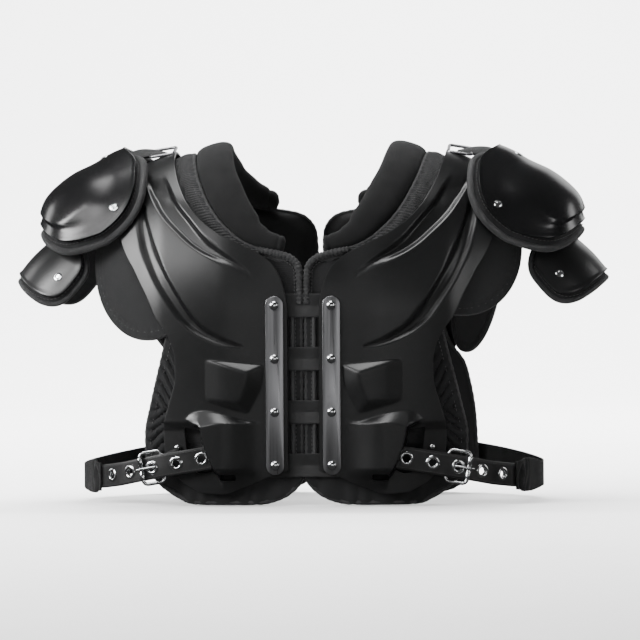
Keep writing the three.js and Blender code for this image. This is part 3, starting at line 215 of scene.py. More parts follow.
class SmoothPath:
    """A curve through points, read by its share from 0 to 1."""

    def __init__(self, points):
        self.points = [Vector(p) for p in points]

    def at(self, share):
        points = self.points
        last = len(points) - 1
        place = min(1, max(0, share)) * last
        k = min(last - 1, int(place))
        t = place - k
        a, b, c, d = (
            points[k - 1] if k else points[0] * 2 - points[1], points[k], points[k + 1],
            points[k + 2] if k + 2 <= last else points[last] * 2 - points[last - 1],
        )
        bend, twist = 2 * a - 5 * b + 4 * c - d, 3 * b - a - 3 * c + d
        return 0.5 * (2 * b + (c - a) * t + bend * t ** 2 + twist * t ** 3)

    def direction(self, share):
        return (self.at(share + 0.004) - self.at(share - 0.004)).normalized()


def spaced(points, pitch, closed=False):
    """Points at an even pitch along a line of points, and the line's direction at each."""
    line = list(points) + ([points[0]] if closed else [])
    lengths = [0]
    for a, b in zip(line, line[1:]):
        lengths.append(lengths[-1] + (b - a).length)
    count = max(2, round(lengths[-1] / pitch))
    found = []
    for index in range(count if closed else count + 1):
        at = lengths[-1] * index / count
        k = min(len(line) - 2, bisect.bisect_right(lengths, at) - 1)
        step = line[k + 1] - line[k]
        found.append((line[k] + step * ((at - lengths[k]) / max(1e-9, step.length)), step.normalized()))
    return found


def softened(line, rounds):
    """The same closed line with its corners rounded."""
    for _ in range(rounds):
        line = [(line[i - 1] + line[i] * 2 + line[(i + 1) % len(line)]) / 4 for i in range(len(line))]
    return line


# Making and finishing pieces

def activate(piece):
    bpy.ops.object.select_all(action="DESELECT")
    piece.select_set(True)
    bpy.context.view_layer.objects.active = piece


def modify(piece, kind, **settings):
    """Adds a modifier and applies it."""
    activate(piece)
    modifier = piece.modifiers.new(kind, kind)
    for name, value in settings.items():
        setattr(modifier, name, value)
    bpy.ops.object.modifier_apply(modifier=modifier.name)


def smooth(piece, angle=40):
    activate(piece)
    bpy.ops.object.shade_smooth_by_angle(angle=math.radians(angle))


def ease_edges(piece, width, segments=2, limit=55):
    modify(piece, "BEVEL", width=width * MM, segments=segments, limit_method="ANGLE",
           angle_limit=math.radians(limit))


def edit_whole(piece, *steps):
    """Runs edit-mode operators, each on the whole piece. A step is an operator and its settings."""
    activate(piece)
    bpy.ops.object.mode_set(mode="EDIT")
    for operator, settings in steps:
        bpy.ops.mesh.select_all(action="SELECT")
        operator(**settings)
    bpy.ops.object.mode_set(mode="OBJECT")


def added(name, data):
    """A new object at the origin, made active."""
    piece = bpy.data.objects.new(name, data)
    bpy.context.scene.collection.objects.link(piece)
    activate(piece)
    return piece


def grid_sheet(name, columns, rows, place, size=(0.1, 0.1)):
    """A grid primitive laid on place(u, v), with u and v from 0 to 1. size is its size on the UV map."""
    bpy.ops.object.select_all(action="DESELECT")
    bpy.ops.mesh.primitive_grid_add(x_subdivisions=columns, y_subdivisions=rows, size=2)
    sheet = bpy.context.object
    sheet.name = sheet.data.name = name
    for vertex in sheet.data.vertices:
        vertex.co = in_scene(place((vertex.co.x + 1) / 2, (vertex.co.y + 1) / 2))
    for loop in sheet.data.uv_layers.active.data:
        loop.uv = (loop.uv[0] * size[0], loop.uv[1] * size[1])
    return sheet


def thicken(piece, thickness, shares=(), offset=-1.0):
    """Gives a sheet its thickness in mm. shares holds a scale for it at each vertex."""
    if shares:
        group = piece.vertex_groups.new(name="thickness")
        for vertex, share in zip(piece.data.vertices, shares):
            group.add([vertex.index], share, "REPLACE")
    modify(piece, "SOLIDIFY", thickness=thickness * MM, offset=offset, use_quality_normals=True,
           vertex_group="thickness" if shares else "")
    piece.vertex_groups.clear()


def make_tape(strap, thickness, rounding=0.5):
    """Turns a strap's middle sheet into webbing with eased edges."""
    thicken(strap, thickness, offset=0.0)
    ease_edges(strap, rounding)
    smooth(strap, 50)
    return strap


def tube(name, points, radius, closed=False, rings=2, swell=None):
    """A round bead or wire along a line of points. swell scales its radius from point to point."""
    curve = bpy.data.curves.new(name, "CURVE")
    curve.dimensions = "3D"
    curve.bevel_depth = radius * MM
    curve.bevel_resolution = rings
    curve.use_fill_caps = True
    spline = curve.splines.new("POLY")
    spline.points.add(len(points) - 1)
    spline.use_cyclic_u = closed
    for index, (spot, point) in enumerate(zip(spline.points, points)):
        spot.co = (*in_scene(point), 1)
        if swell:
            spot.radius = swell[index]
    added(name, curve)
    bpy.ops.object.convert(target="MESH")
    piece = bpy.context.object
    bpy.ops.object.shade_smooth()
    return piece


def stitches(name, points, closed=False, pitch=4.4, length=3.2, radius=0.42):
    """A row of thread stitches, each a small spindle, along a line of points on the cloth."""
    mesh = bmesh.new()
    for middle, along in spaced(points, pitch, closed):
        side = along.cross(Vector((0.31, 0.77, 0.55))).normalized()
        up = along.cross(side)
        tips = [mesh.verts.new(in_scene(middle + along * length * s / 2)) for s in (-1, 1)]
        rings = [
            [mesh.verts.new(in_scene(middle + along * length * s / 4 + (side * a + up * b) * radius))
             for a, b in ((1, 0), (0, 1), (-1, 0), (0, -1))]
            for s in (-1, 1)
        ]
        for k in range(4):
            after = (k + 1) % 4
            mesh.faces.new((rings[0][k], rings[0][after], rings[1][after], rings[1][k]))
            mesh.faces.new((tips[0], rings[0][after], rings[0][k]))
            mesh.faces.new((tips[1], rings[1][k], rings[1][after]))
    bmesh.ops.recalc_face_normals(mesh, faces=mesh.faces)
    data = bpy.data.meshes.new(name)
    mesh.to_mesh(data)
    mesh.free()
    piece = added(name, data)
    bpy.ops.object.shade_smooth()
    return piece


def lathe(name, profile, steps):
    """Spins a closed profile of (radius, height) about Y. The piece is made at the origin, in mm."""
    count = len(profile)
    data = bpy.data.meshes.new(name)
    data.from_pydata([(r, h, 0) for r, h in profile], [(k, (k + 1) % count) for k in range(count)], [])
    piece = added(name, data)
    edit_whole(
        piece,
        (bpy.ops.mesh.spin, {"steps": steps, "angle": 2 * math.pi, "center": (0, 0, 0), "axis": (0, 1, 0)}),
        (bpy.ops.mesh.remove_doubles, {"threshold": 0.001}),
        (bpy.ops.mesh.normals_make_consistent, {"inside": False}),
    )
    smooth(piece, 35)
    return piece


def rounded_box(name, low, high, rounding, segments):
    """A box between two corners in mm, with the edges that run along Y rounded."""
    bpy.ops.object.select_all(action="DESELECT")
    bpy.ops.mesh.primitive_cube_add(size=1)
    piece = bpy.context.object
    piece.name = piece.data.name = name
    low, high = in_scene(Vector(low)), in_scene(Vector(high))
    piece.data.transform(Matrix.Translation((low + high) / 2) @ Matrix.Diagonal((*(high - low), 1)))
    bpy.ops.object.mode_set(mode="EDIT")
    bpy.ops.mesh.select_all(action="DESELECT")
    bpy.ops.object.mode_set(mode="OBJECT")
    for edge in piece.data.edges:
        a, b = (piece.data.vertices[i].co for i in edge.vertices)
        edge.select = abs(a.y - b.y) > 1e-6
    bpy.ops.object.mode_set(mode="EDIT")
    bpy.ops.mesh.select_mode(type="EDGE")
    bpy.ops.mesh.bevel(offset=rounding * MM, segments=segments)
    bpy.ops.object.mode_set(mode="OBJECT")
    return piece


def set_down(piece, matrix):
    """Moves a piece made at the origin, in mm, to its place, and keeps its object at the origin."""
    move = Matrix.Translation((0, SHIFT_Y * MM, 0)) @ Matrix.Scale(MM, 4) @ matrix
    piece.data.transform(move)
    if matrix.determinant() < 0:
        piece.data.flip_normals()


def twin_of(piece, name, matrix=None):
    twin = piece.copy()
    twin.data = piece.data.copy()
    twin.name = twin.data.name = name
    bpy.context.scene.collection.objects.link(twin)
    if matrix is not None:
        set_down(twin, matrix)
    return twin


def mirror(piece, axis, about=0.0):
    """Mirrors a piece's mesh in the plane across one axis."""
    there = Matrix.Translation(Vector(axis) * about)
    piece.data.transform(there @ Matrix.Scale(-1, 4, axis) @ there.inverted())
    piece.data.flip_normals()


def dress(piece, material, nodes=()):
    piece.data.materials.clear()
    piece.data.materials.append(material)
    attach(piece, "root")
    if nodes:
        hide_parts(*nodes)


def dress_pair(piece, material, nodes=()):
    """Dresses a left piece and its mirror image. Node names are given without their side."""
    right = twin_of(piece, piece.name.replace("left_", "right_", 1))
    mirror(right, (1, 0, 0))
    dress(piece, material, [f"left_{n}" for n in nodes])
    dress(right, material, [f"right_{n}" for n in nodes])


# Materials

def node_group(name, outputs, **inputs):
    """An empty node group. An input given as None is a vector, and any other is a number."""
    tree = bpy.data.node_groups.new(name, "ShaderNodeTree")
    for label, value in inputs.items():
        kind = "NodeSocketVector" if value is None else "NodeSocketFloat"
        socket = tree.interface.new_socket(label, in_out="INPUT", socket_type=kind)
        if value is not None:
            socket.default_value = value
    for label in outputs:
        tree.interface.new_socket(label, in_out="OUTPUT", socket_type="NodeSocketFloat")
    return tree, tree.nodes.new("NodeGroupInput").outputs, tree.nodes.new("NodeGroupOutput").inputs


def wire(tree, value, socket):
    """Sets a socket to a number or links another socket to it."""
    if isinstance(value, (int, float)):
        socket.default_value = value
    else:
        tree.links.new(value, socket)


def math_node(tree, operation, *values):
    node = tree.nodes.new("ShaderNodeMath")
    node.operation = operation
    for socket, value in zip(node.inputs, values):
        wire(tree, value, socket)
    return node.outputs[0]


def noise_node(tree, vector, scale, detail, roughness=0.5, distortion=0.0):
    node = tree.nodes.new("ShaderNodeTexNoise")
    labels = ("Vector", "Scale", "Detail", "Roughness", "Distortion")
    for label, value in zip(labels, (vector, scale, detail, roughness, distortion)):
        wire(tree, value, node.inputs[label])
    return node.outputs[0]


def build_moulded_skin():
    outputs = ["Height", "Smudges", "Dust"]
    tree, given, made = node_group("moulded_skin", outputs, Vector=None, Peel=400.0, Smudge=9.0)
    peel = noise_node(tree, given["Vector"], given["Peel"], 2.0)
    broad = noise_node(tree, given["Vector"], 60.0, 2.0)
    smudge = noise_node(tree, given["Vector"], given["Smudge"], 5.0, 0.62, 0.6)
    fine = noise_node(tree, given["Vector"], 900.0, 1.0)
    wire(tree, math_node(tree, "MULTIPLY_ADD", broad, 0.8, peel), made["Height"])
    wire(tree, smudge, made["Smudges"])
    wire(tree, math_node(tree, "MULTIPLY", math_node(tree, "POWER", fine, 6.0), smudge), made["Dust"])
    return tree


def build_woven_cloth():
    """A plain weave on the piece's UV map, whose unit is the metre, broken up by a little noise."""
    outputs = ["Height", "Fuzz"]
    tree, given, made = node_group("woven_cloth", outputs, Vector=None, Threads=900.0, Position=None)
    split = tree.nodes.new("ShaderNodeSeparateXYZ")
    wire(tree, given["Vector"], split.inputs[0])
    waves = []
    for axis in ("X", "Y"):
        scaled = math_node(tree, "MULTIPLY", split.outputs[axis], given["Threads"])
        waves.append(math_node(tree, "SINE", math_node(tree, "MULTIPLY", scaled, math.pi)))
    over = math_node(tree, "GREATER_THAN", math_node(tree, "MULTIPLY", *waves), 0.0)
    warp, weft = (math_node(tree, "ABSOLUTE", wave) for wave in waves)
    raised = math_node(tree, "MULTIPLY", warp, over)
    under = math_node(tree, "MULTIPLY", weft, math_node(tree, "SUBTRACT", 1.0, over))
    weave = math_node(tree, "ADD", raised, under)
    fuzz = noise_node(tree, given["Position"], 520.0, 4.0, 0.7)
    wire(tree, math_node(tree, "MULTIPLY_ADD", fuzz, 0.9, weave), made["Height"])
    wire(tree, noise_node(tree, given["Position"], 46.0, 5.0, 0.7), made["Fuzz"])
    return tree


def build_ribbed_tape():
    """Cross ribs of webbing and binding, with a herringbone turn halfway across."""
    tree, given, made = node_group("ribbed_tape", ["Height", "Fuzz"], Vector=None, Ribs=700.0, Position=None)
    split = tree.nodes.new("ShaderNodeSeparateXYZ")
    wire(tree, given["Vector"], split.inputs[0])
    across = math_node(tree, "ABSOLUTE", math_node(tree, "SUBTRACT", split.outputs["Y"], 0.0127))
    slanted = math_node(tree, "ADD", split.outputs["X"], across)
    wave = math_node(tree, "SINE", math_node(tree, "MULTIPLY", slanted, given["Ribs"]))
    ribs = math_node(tree, "ABSOLUTE", wave)
    fuzz = noise_node(tree, given["Position"], 700.0, 3.0, 0.7)
    wire(tree, math_node(tree, "MULTIPLY_ADD", fuzz, 0.7, ribs), made["Height"])
    wire(tree, noise_node(tree, given["Position"], 60.0, 4.0), made["Fuzz"])
    return tree


def build_brushed_metal():
    tree, given, made = node_group("brushed_metal", ["Height", "Streaks"], Vector=None)
    mapping = tree.nodes.new("ShaderNodeMapping")
    mapping.inputs["Scale"].default_value = (1.0, 1.0, 0.025)
    wire(tree, given["Vector"], mapping.inputs["Vector"])
    wire(tree, noise_node(tree, mapping.outputs[0], 3400.0, 2.0), made["Height"])
    wire(tree, noise_node(tree, mapping.outputs[0], 500.0, 2.0), made["Streaks"])
    return tree


def build_leather_grain():
    tree, given, made = node_group("leather_grain", ["Height", "Wear"], Vector=None)
    cells = tree.nodes.new("ShaderNodeTexVoronoi")
    cells.inputs["Scale"].default_value = 900.0
    wire(tree, given["Vector"], cells.inputs["Vector"])
    creases = noise_node(tree, given["Vector"], 140.0, 4.0, 0.6)
    wire(tree, math_node(tree, "MULTIPLY_ADD", creases, 1.2, cells.outputs["Distance"]), made["Height"])
    wire(tree, noise_node(tree, given["Vector"], 35.0, 4.0, 0.6), made["Wear"])
    return tree


class Finish:
    """One material: its shader, its coordinates, and short calls that wire the patterns in."""

    def __init__(self, name, **sockets):
        self.material = bpy.data.materials.new(name)
        self.material.use_nodes = True
        self.tree = self.material.node_tree
        self.shader = self.tree.nodes["Principled BSDF"]
        for label, value in sockets.items():
            self.shader.inputs[label.replace("_", " ").title().replace("Ior", "IOR")].default_value = value
        coordinates = self.tree.nodes.new("ShaderNodeTexCoord")
        self.position = coordinates.outputs["Object"]
        self.cloth = coordinates.outputs["UV"]

    def pattern(self, group, **inputs):
        node = self.tree.nodes.new("ShaderNodeGroup")
        node.node_tree = group
        for label, value in inputs.items():
            wire(self.tree, value, node.inputs[label])
        return node.outputs

    def colour(self, mask, low, high):
        node = self.tree.nodes.new("ShaderNodeMix")
        node.data_type = "RGBA"
        node.inputs[6].default_value = (*low, 1)
        node.inputs[7].default_value = (*high, 1)
        self.tree.links.new(mask, node.inputs[0])
        self.tree.links.new(node.outputs[2], self.shader.inputs["Base Color"])

    def roughness(self, mask, low, high):
        node = self.tree.nodes.new("ShaderNodeMapRange")
        settings = {"From Min": 0.3, "From Max": 0.7, "To Min": low, "To Max": high, "Value": mask}
        for label, value in settings.items():
            wire(self.tree, value, node.inputs[label])
        self.tree.links.new(node.outputs[0], self.shader.inputs["Roughness"])

    def bump(self, height, distance, strength=1.0):
        node = self.tree.nodes.new("ShaderNodeBump")
        for label, value in (("Distance", distance * MM), ("Strength", strength), ("Height", height)):
            wire(self.tree, value, node.inputs[label])
        self.tree.links.new(node.outputs[0], self.shader.inputs["Normal"])


MOULDED_SKIN = build_moulded_skin()
WOVEN_CLOTH = build_woven_cloth()
RIBBED_TAPE = build_ribbed_tape()
BRUSHED_METAL = build_brushed_metal()
LEATHER_GRAIN = build_leather_grain()


def scaled(tone, share):
    return tuple(c * share for c in tone)


def moulded_plastic(name, tone, rough, peel):
    finish = Finish(name, specular_ior_level=0.42)
    skin = finish.pattern(MOULDED_SKIN, Vector=finish.position, Peel=peel)
    finish.colour(skin["Dust"], tone, tuple(c * 6 + 0.02 for c in tone))
    finish.roughness(skin["Smudges"], rough * 0.9, rough * 1.15)
    finish.bump(skin["Height"], 0.02)
    return finish.material


def woven(name, tone, threads, rough):
    finish = Finish(name, sheen_weight=0.03, sheen_roughness=0.4, specular_ior_level=0.22)
    cloth = finish.pattern(WOVEN_CLOTH, Vector=finish.cloth, Threads=threads, Position=finish.position)
    finish.colour(cloth["Fuzz"], scaled(tone, 0.7), scaled(tone, 1.4))
    finish.roughness(cloth["Fuzz"], rough - 0.08, rough + 0.08)
    finish.bump(cloth["Height"], 0.28, 0.7)
    return finish.material


def taped(name, tone, ribs, rough):
    finish = Finish(name, sheen_weight=0.03, sheen_roughness=0.4, specular_ior_level=0.35)
    tape = finish.pattern(RIBBED_TAPE, Vector=finish.cloth, Ribs=ribs, Position=finish.position)
    finish.colour(tape["Fuzz"], scaled(tone, 0.7), scaled(tone, 1.5))
    finish.roughness(tape["Fuzz"], rough - 0.1, rough + 0.1)
    finish.bump(tape["Height"], 0.3, 0.6)
    return finish.material


def metal(name, tone, rough, brushed):
    finish = Finish(name, metallic=1.0)
    if brushed:
        streaks = finish.pattern(BRUSHED_METAL, Vector=finish.position)
        finish.colour(streaks["Streaks"], scaled(tone, 0.85), scaled(tone, 1.1))
        finish.roughness(streaks["Streaks"], rough * 0.85, rough * 1.15)
        finish.bump(streaks["Height"], 0.02, 0.5)
    else:
        skin = finish.pattern(MOULDED_SKIN, Vector=finish.position, Peel=200.0, Smudge=120.0)
        finish.colour(skin["Smudges"], scaled(tone, 0.9), tone)
        finish.roughness(skin["Smudges"], rough * 0.7, rough * 1.4)
    return finish.material


def leather(name, tone, rough):
    finish = Finish(name, specular_ior_level=0.5)
    grain = finish.pattern(LEATHER_GRAIN, Vector=finish.position)
    finish.colour(grain["Wear"], scaled(tone, 0.7), scaled(tone, 1.4))
    finish.roughness(grain["Wear"], rough - 0.08, rough + 0.08)
    finish.bump(grain["Height"], 0.12, 0.6)
    return finish.material


SHELL_PLASTIC = moulded_plastic("satin_shell_plastic", (0.0035, 0.0036, 0.0038), 0.33, 500.0)
CUP_PLASTIC = moulded_plastic("glossy_cup_plastic", (0.003, 0.0031, 0.0033), 0.24, 380.0)
LINER_CLOTH = woven("liner_nylon", (0.0065, 0.0066, 0.007), 900.0, 0.7)
FLAP_CLOTH = woven("flap_nylon", (0.009, 0.0091, 0.0095), 1100.0, 0.6)
ROLL_CLOTH = woven("neck_roll_knit", (0.0042, 0.0043, 0.0045), 1500.0, 0.9)
BINDING_SATIN = woven("gathered_satin", (0.016, 0.0161, 0.0166), 1500.0, 0.5)
PIPING_TAPE = taped("piping_tape", (0.014, 0.0142, 0.0147), 2600.0, 0.6)
WEBBING_TAPE = taped("strap_webbing", (0.005, 0.0051, 0.0054), 2200.0, 0.6)
ELASTIC_TAPE = taped("side_elastic", (0.0035, 0.0036, 0.0038), 3400.0, 0.8)
THREAD = leather("seam_thread", (0.03, 0.0304, 0.031), 0.6)
BELT_LEATHER = leather("belt_leather", (0.004, 0.004, 0.0042), 0.42)
SATIN_STEEL = metal("satin_steel_plate", (0.3, 0.3, 0.31), 0.32, True)
BRIGHT_CHROME = metal("bright_chrome", (0.66, 0.67, 0.68), 0.16, False)


# Shells

def smooth_route(rows):
    """A route with points added along a curve, so that its bends are round."""
    path = SmoothPath(rows)
    count = 8 * (len(rows) - 1)
    return [tuple(path.at(k / count)) for k in range(count + 1)]


NECK_ROUTE = smooth_route(NECK_CHANNEL)
ARM_ROUTE = smooth_route(ARM_CHANNEL)


def channel_at(route, x, z, depth):
    """Depth of a flat channel with steep banks, which narrows and runs out at its ends."""
    best = (1e9, 0.0)
    for (ax, az, aw), (bx, bz, bw) in zip(route, route[1:]):
        dx, dz = bx - ax, bz - az
        share = min(1, max(0, ((x - ax) * dx + (z - az) * dz) / (dx * dx + dz * dz)))
        distance = math.hypot(x - ax - dx * share, z - az - dz * share)
        if distance < best[0]:
            best = (distance, mix(aw, bw, share))
    distance, half_width = best
    bank = min(3.0, 0.8 * half_width + 0.6)
    return depth * min(1, half_width / 5) * (1 - ramp(distance, half_width - bank, half_width + bank))


def off_line(x, z, a, b):
    """Distance to the left of the line from a to b."""
    dx, dz = b[0] - a[0], b[1] - a[1]
    return (dx * (z - a[1]) - dz * (x - a[0])) / math.hypot(dx, dz)


def least(values, soften=0.7):
    """The smallest value, with the edges between the facets rounded."""
    low = min(values)
    return low - soften * math.log(sum(math.exp((low - v) / soften) for v in values))


def wedge_at(x, z):
    """The raised wedge beside the lacing: a sloping face between a top, an inner and a lower facet."""
    if not (38 < x < 112 and 92 < z < 162):
        return 0.0
    height = least([
        8 * (105 - x) / 45,
        0.85 * off_line(x, z, (101, 156.5), (45, 151)),
        0.5 * off_line(x, z, (41.5, 152), (44, 124)),
        0.5 * off_line(x, z, (41.5, 132), (60, 98)),
        0.7 * off_line(x, z, (58, 98), (107, 112.7)),
    ])
    return max(0, height)


def scoop_wall(z):
    """Where the scoop's outer wall stands, by height."""
    return read([(26, 86), (37, 93), (57, 102.5), (76, 107.5), (90, 109)], z, 1)


def scoop_at(x, z):
    """The scoop over the belt: a flat face under a slanted brow that runs out over the window."""
    brow_low = read([(60, 87.5), (89, 88.5), (108, 85), (125, 92)], x, 1)
    brow_high = read([(60, 90.5), (67, 92), (89, 99), (107, 102), (118, 100), (127, 94.5)], x, 1)
    wall = scoop_wall(z)
    beyond = ramp(x, wall - 0.4, wall + 4.2)
    brow = min(1, max(0, (brow_high - z) / max(1, brow_high - brow_low)))
    face = ramp(x, 44, 88) * ramp(z, 26, 40)
    outer = (1 - ramp(x, 108, 128)) * ramp(z, brow_low - 2.5, brow_low)
    return 10 * brow * mix(face, outer, beyond), beyond * (1 - ramp(z, 80, 90))


def relief_at(point):
    """How far the moulded front stands out of the body form."""
    x, z = point.x, point.z
    if point.y > 0:
        rib = max(1 - abs(z - height) / 7 for height in (110, 150, 190))
        return 2.2 * ramp(rib, 0, 0.7) * ramp(x, 40, 58) * (1 - ramp(x, 108, 126))
    fade = mix(1, 0.5, ramp(x, 150, 178)) * (1 - ramp(z, 318, 356))
    plateau = 5 * ramp(x, 36, 92) * ramp(z, 14, 40) * fade
    channels = max(channel_at(NECK_ROUTE, x, z, 5.5), channel_at(ARM_ROUTE, x, z, 5))
    scoop, recess = scoop_at(x, z)
    ground = max(-2, plateau - channels * (1 - ramp(z, 330, 356)))
    return ground * (1 - recess) + wedge_at(x, z) * (1 - recess) + scoop


def shell_frame(u, v):
    station = mix(-90, 0, v / 0.45) if v < 0.45 else mix(0, 270, (v - 0.45) / 0.55)
    inner, outer = read(SHELL_OUTLINE, station, 1), read(SHELL_OUTLINE, station, 2)
    x = mix(CENTRE_GAP_HALF, SHELL_REACH, mix(inner, outer, u))
    hem = 28 * read(SHELL_HEM, u, 1 if station < 90 else 2)
    return frame_of(lambda a, b: form_point(a, b, hem), x, station)


def shell_place(u, v):
    spot = shell_frame(u, v)
    return lifted(spot, relief_at(spot[0]))


def window_cutter():
    """A prism through the chest for the belt's window, whose inner side follows the scoop's wall."""
    outline = [
        (129.5, 82.5), (128.5, 83.6), (113, 81.2), (111.6, 79.6), (110.4, 67), (106, 56), (99.5, 42),
        (98, 38.5), (99, 36.6), (106, 34), (114, 34.6), (121, 39), (125.6, 50), (127.4, 64),
    ]
    data = bpy.data.meshes.new("window")
    data.from_pydata([in_scene(Vector((x, -190, z))) for x, z in outline], [], [range(len(outline))])
    cutter = added("window", data)
    edit_whole(
        cutter,
        (bpy.ops.mesh.extrude_region_move, {"TRANSFORM_OT_translate": {"value": (0, 0.1, 0)}}),
        (bpy.ops.mesh.normals_make_consistent, {"inside": False}),
    )
    return cutter


def cut_out(piece, cutter):
    modify(piece, "BOOLEAN", operation="DIFFERENCE", object=cutter, solver="EXACT")
    bpy.data.objects.remove(cutter)


def make_shells():
    shell = grid_sheet("left_shell_moulding", 108, 370, shell_place)
    thicken(shell, SHELL_WALL)
    ease_edges(shell, 0.9)
    cut_out(shell, window_cutter())
    cut_out(shell, rounded_box("slot", (73, -190, 26.5), (91, -110, 33.5), 2.5, 5))
    smooth(shell, 38)
    dress_pair(shell, SHELL_PLASTIC, ["shell"])


# Body pads

def pad_x(station, u):
    inner, outer = read(PAD_OUTLINE, station, 1), read(PAD_OUTLINE, station, 2)
    x = mix(PAD_GAP_HALF, SHELL_REACH, mix(inner, outer, u))
    return x, (outer - inner) * (SHELL_REACH - PAD_GAP_HALF)


def pad_frame(u, v):
    station = mix(-90, 270, v)
    x, width = pad_x(station, u)
    hem = 26 * read(PAD_HEM, u, 1)
    return frame_of(lambda a, b: form_point(a, b, hem), x, station), width, station


def pad_depth(u, width, station):
    """Thickness of the pad: thin at its sewn edge, full inside it, and pressed in along its quilting."""
    rim = min(u * width, (1 - u) * width, (station + 90) * STATION_LENGTH, (270 - station) * STATION_LENGTH)
    full = mix(5.5, PAD_THICKNESS, ramp(rim, 0, 22))
    seams = [abs(station - s) * STATION_LENGTH for s in (-58, -22, 14, 50, 90, 130, 166, 202, 238)]
    seams.append(abs(u - 0.5) * width)
    return full - 4.5 * (1 - ramp(min(seams), 0, 7)) * ramp(rim, 8, 20)


def pad_fold(u, width, station):
    """Gathers at the neck edge, chevron folds at the side and slack at the hem."""
    along = station * STATION_LENGTH
    from_neck, from_side = u * width, (1 - u) * width
    neck = ramp(station, 16, 26) * (1 - ramp(station, 140, 150)) * (1 - ramp(from_neck, 9, 20))
    gathers = 0.3 * math.sin(along * 2 * math.pi / 8.5 + 0.8 * math.sin(along / 11)) * neck
    height = 200 + along
    chevron = abs(height - 104) * 0.9 + from_side
    side = ramp(height, 40, 62) * (1 - ramp(height, 150, 172))
    side *= (1 - ramp(from_side, 26, 40)) * ramp(from_side, 2, 6)
    folds = 2.0 * math.sin(chevron * 2 * math.pi / 11 + 0.6 * math.sin(height / 9)) * side
    hem = (1 - ramp(station + 90, 3, 14)) * 0.6 * math.sin(u * width / 3.2 + 1.4 * math.sin(u * width / 9))
    return gathers + folds + hem


def make_body_pads():
    depths = []

    def place(u, v):
        spot, width, station = pad_frame(u, v)
        depth = pad_depth(u, width, station)
        depths.append(depth / PAD_THICKNESS)
        return lifted(spot, pad_fold(u, width, station) - PAD_SETBACK - depth / 2)

    pad = grid_sheet("left_body_liner", 60, 500, place, (0.2, 0.8))
    thicken(pad, PAD_THICKNESS, depths, 0.0)
    smooth(pad, 60)
    dress_pair(pad, LINER_CLOTH, ["body_pad"])

    def edge(u, v):
        spot = lifted(pad_frame(u, v)[0], -PAD_SETBACK - 2.4)
        spot.z = max(spot.z, 2.9)
        return spot

    steps = 260
    outline = [edge(0, k / steps) for k in range(steps)] + [edge(k / 40, 1) for k in range(40)]
    outline += [edge(1, 1 - k / steps) for k in range(steps)] + [edge(1 - k / 40, 0) for k in range(40)]
    line = [point for point, _ in spaced(softened([p for p, _ in spaced(outline, 3, True)], 5), 2.4, True)]
    ruffled = [1 + 0.1 * math.sin(k * 1.9 + 1.3 * math.sin(k * 0.37)) for k in range(len(line))]
    dress_pair(tube("left_liner_piping", line, 2.6, True, 2, ruffled), PIPING_TAPE)

    def seam(name, across):
        """Stitches along the pad, at a share across it that depends on its width."""
        line = []
        for v in (k / steps for k in range(8, steps - 8)):
            width = pad_frame(0.5, v)[1]
            line.append(lifted(pad_frame(across(width), v)[0], LINER_INSET))
        dress_pair(stitches(name, line), THREAD)

    seam("left_liner_side_stitches", lambda width: 1 - 6 / width)
    seam("left_liner_neck_stitches", lambda width: 5.5 / width)
    fold = [Vector((11.5, -HALF_DEPTH + PAD_SETBACK + 0.6, z)) for z in range(36, 226, 3)]
    dress_pair(tube("left_liner_centre_fold", fold, 2.7), PIPING_TAPE)


def make_neck_binding():
    """The gathered strip between the moulding and the neck roll, and the ruffled cord round the corner."""
    def place(u, v):
        station = mix(16.5, 149, v)
        width = pad_frame(0.5, (station + 90) / 360)[1]
        from_edge = 0.6 + u * 20
        along = station * 2.9
        drift = 1.1 * math.sin(along / 5) + 2.2 * u * math.sin(along / 13)
        pleat = math.sin(along * 2 * math.pi / 3.3 + drift)
        rise = 0.42 * pleat * (1 - ramp(u, 0.35, 0.95)) + 0.25 * math.sin(along / 4.2 + u * 9)
        crown = 1.5 * math.sin(math.pi * min(1, u * 1.15))
        frame_here = pad_frame(from_edge / width, (station + 90) / 360)[0]
        return lifted(frame_here, -PAD_SETBACK - 0.4 + rise + crown)

    strip = grid_sheet("left_neck_binding", 14, 760, place, (0.02, 0.38))
    thicken(strip, 0.9)
    smooth(strip, 70)
    dress_pair(strip, BINDING_SATIN)

    route = [(0.205, 20.6), (0.15, 19.6), (0.1, 18.6), (0.05, 17.2), (0.012, 14.6), (0.004, 10), (0.003, 4)]
    path = SmoothPath([
        lifted(frame_of(form_point, mix(PAD_GAP_HALF, SHELL_REACH, across), station), -PAD_SETBACK + 0.4)
        for across, station in route
    ])
    line = [p for p, _ in spaced([path.at(k / 80) for k in range(81)], 1.1)]
    ruffle = [1 + 0.13 * math.sin(k * 1.7 + 0.9 * math.sin(k * 0.31)) for k in range(len(line))]
    dress_pair(tube("left_corner_ruffle", line, 3.9, False, 4, ruffle), BINDING_SATIN)
    seam = []
    for share in (0.05 + 0.9 * k / 69 for k in range(70)):
        inner = path.direction(share).cross(Vector((0, -1, 0))).normalized()
        seam.append(path.at(share) - inner * 5.6 + Vector((0, -0.5, 0)))
    thread = stitches("left_corner_stitches", seam, pitch=3.6, length=2.6, radius=0.5)
    dress_pair(thread, THREAD)


# Neck rolls

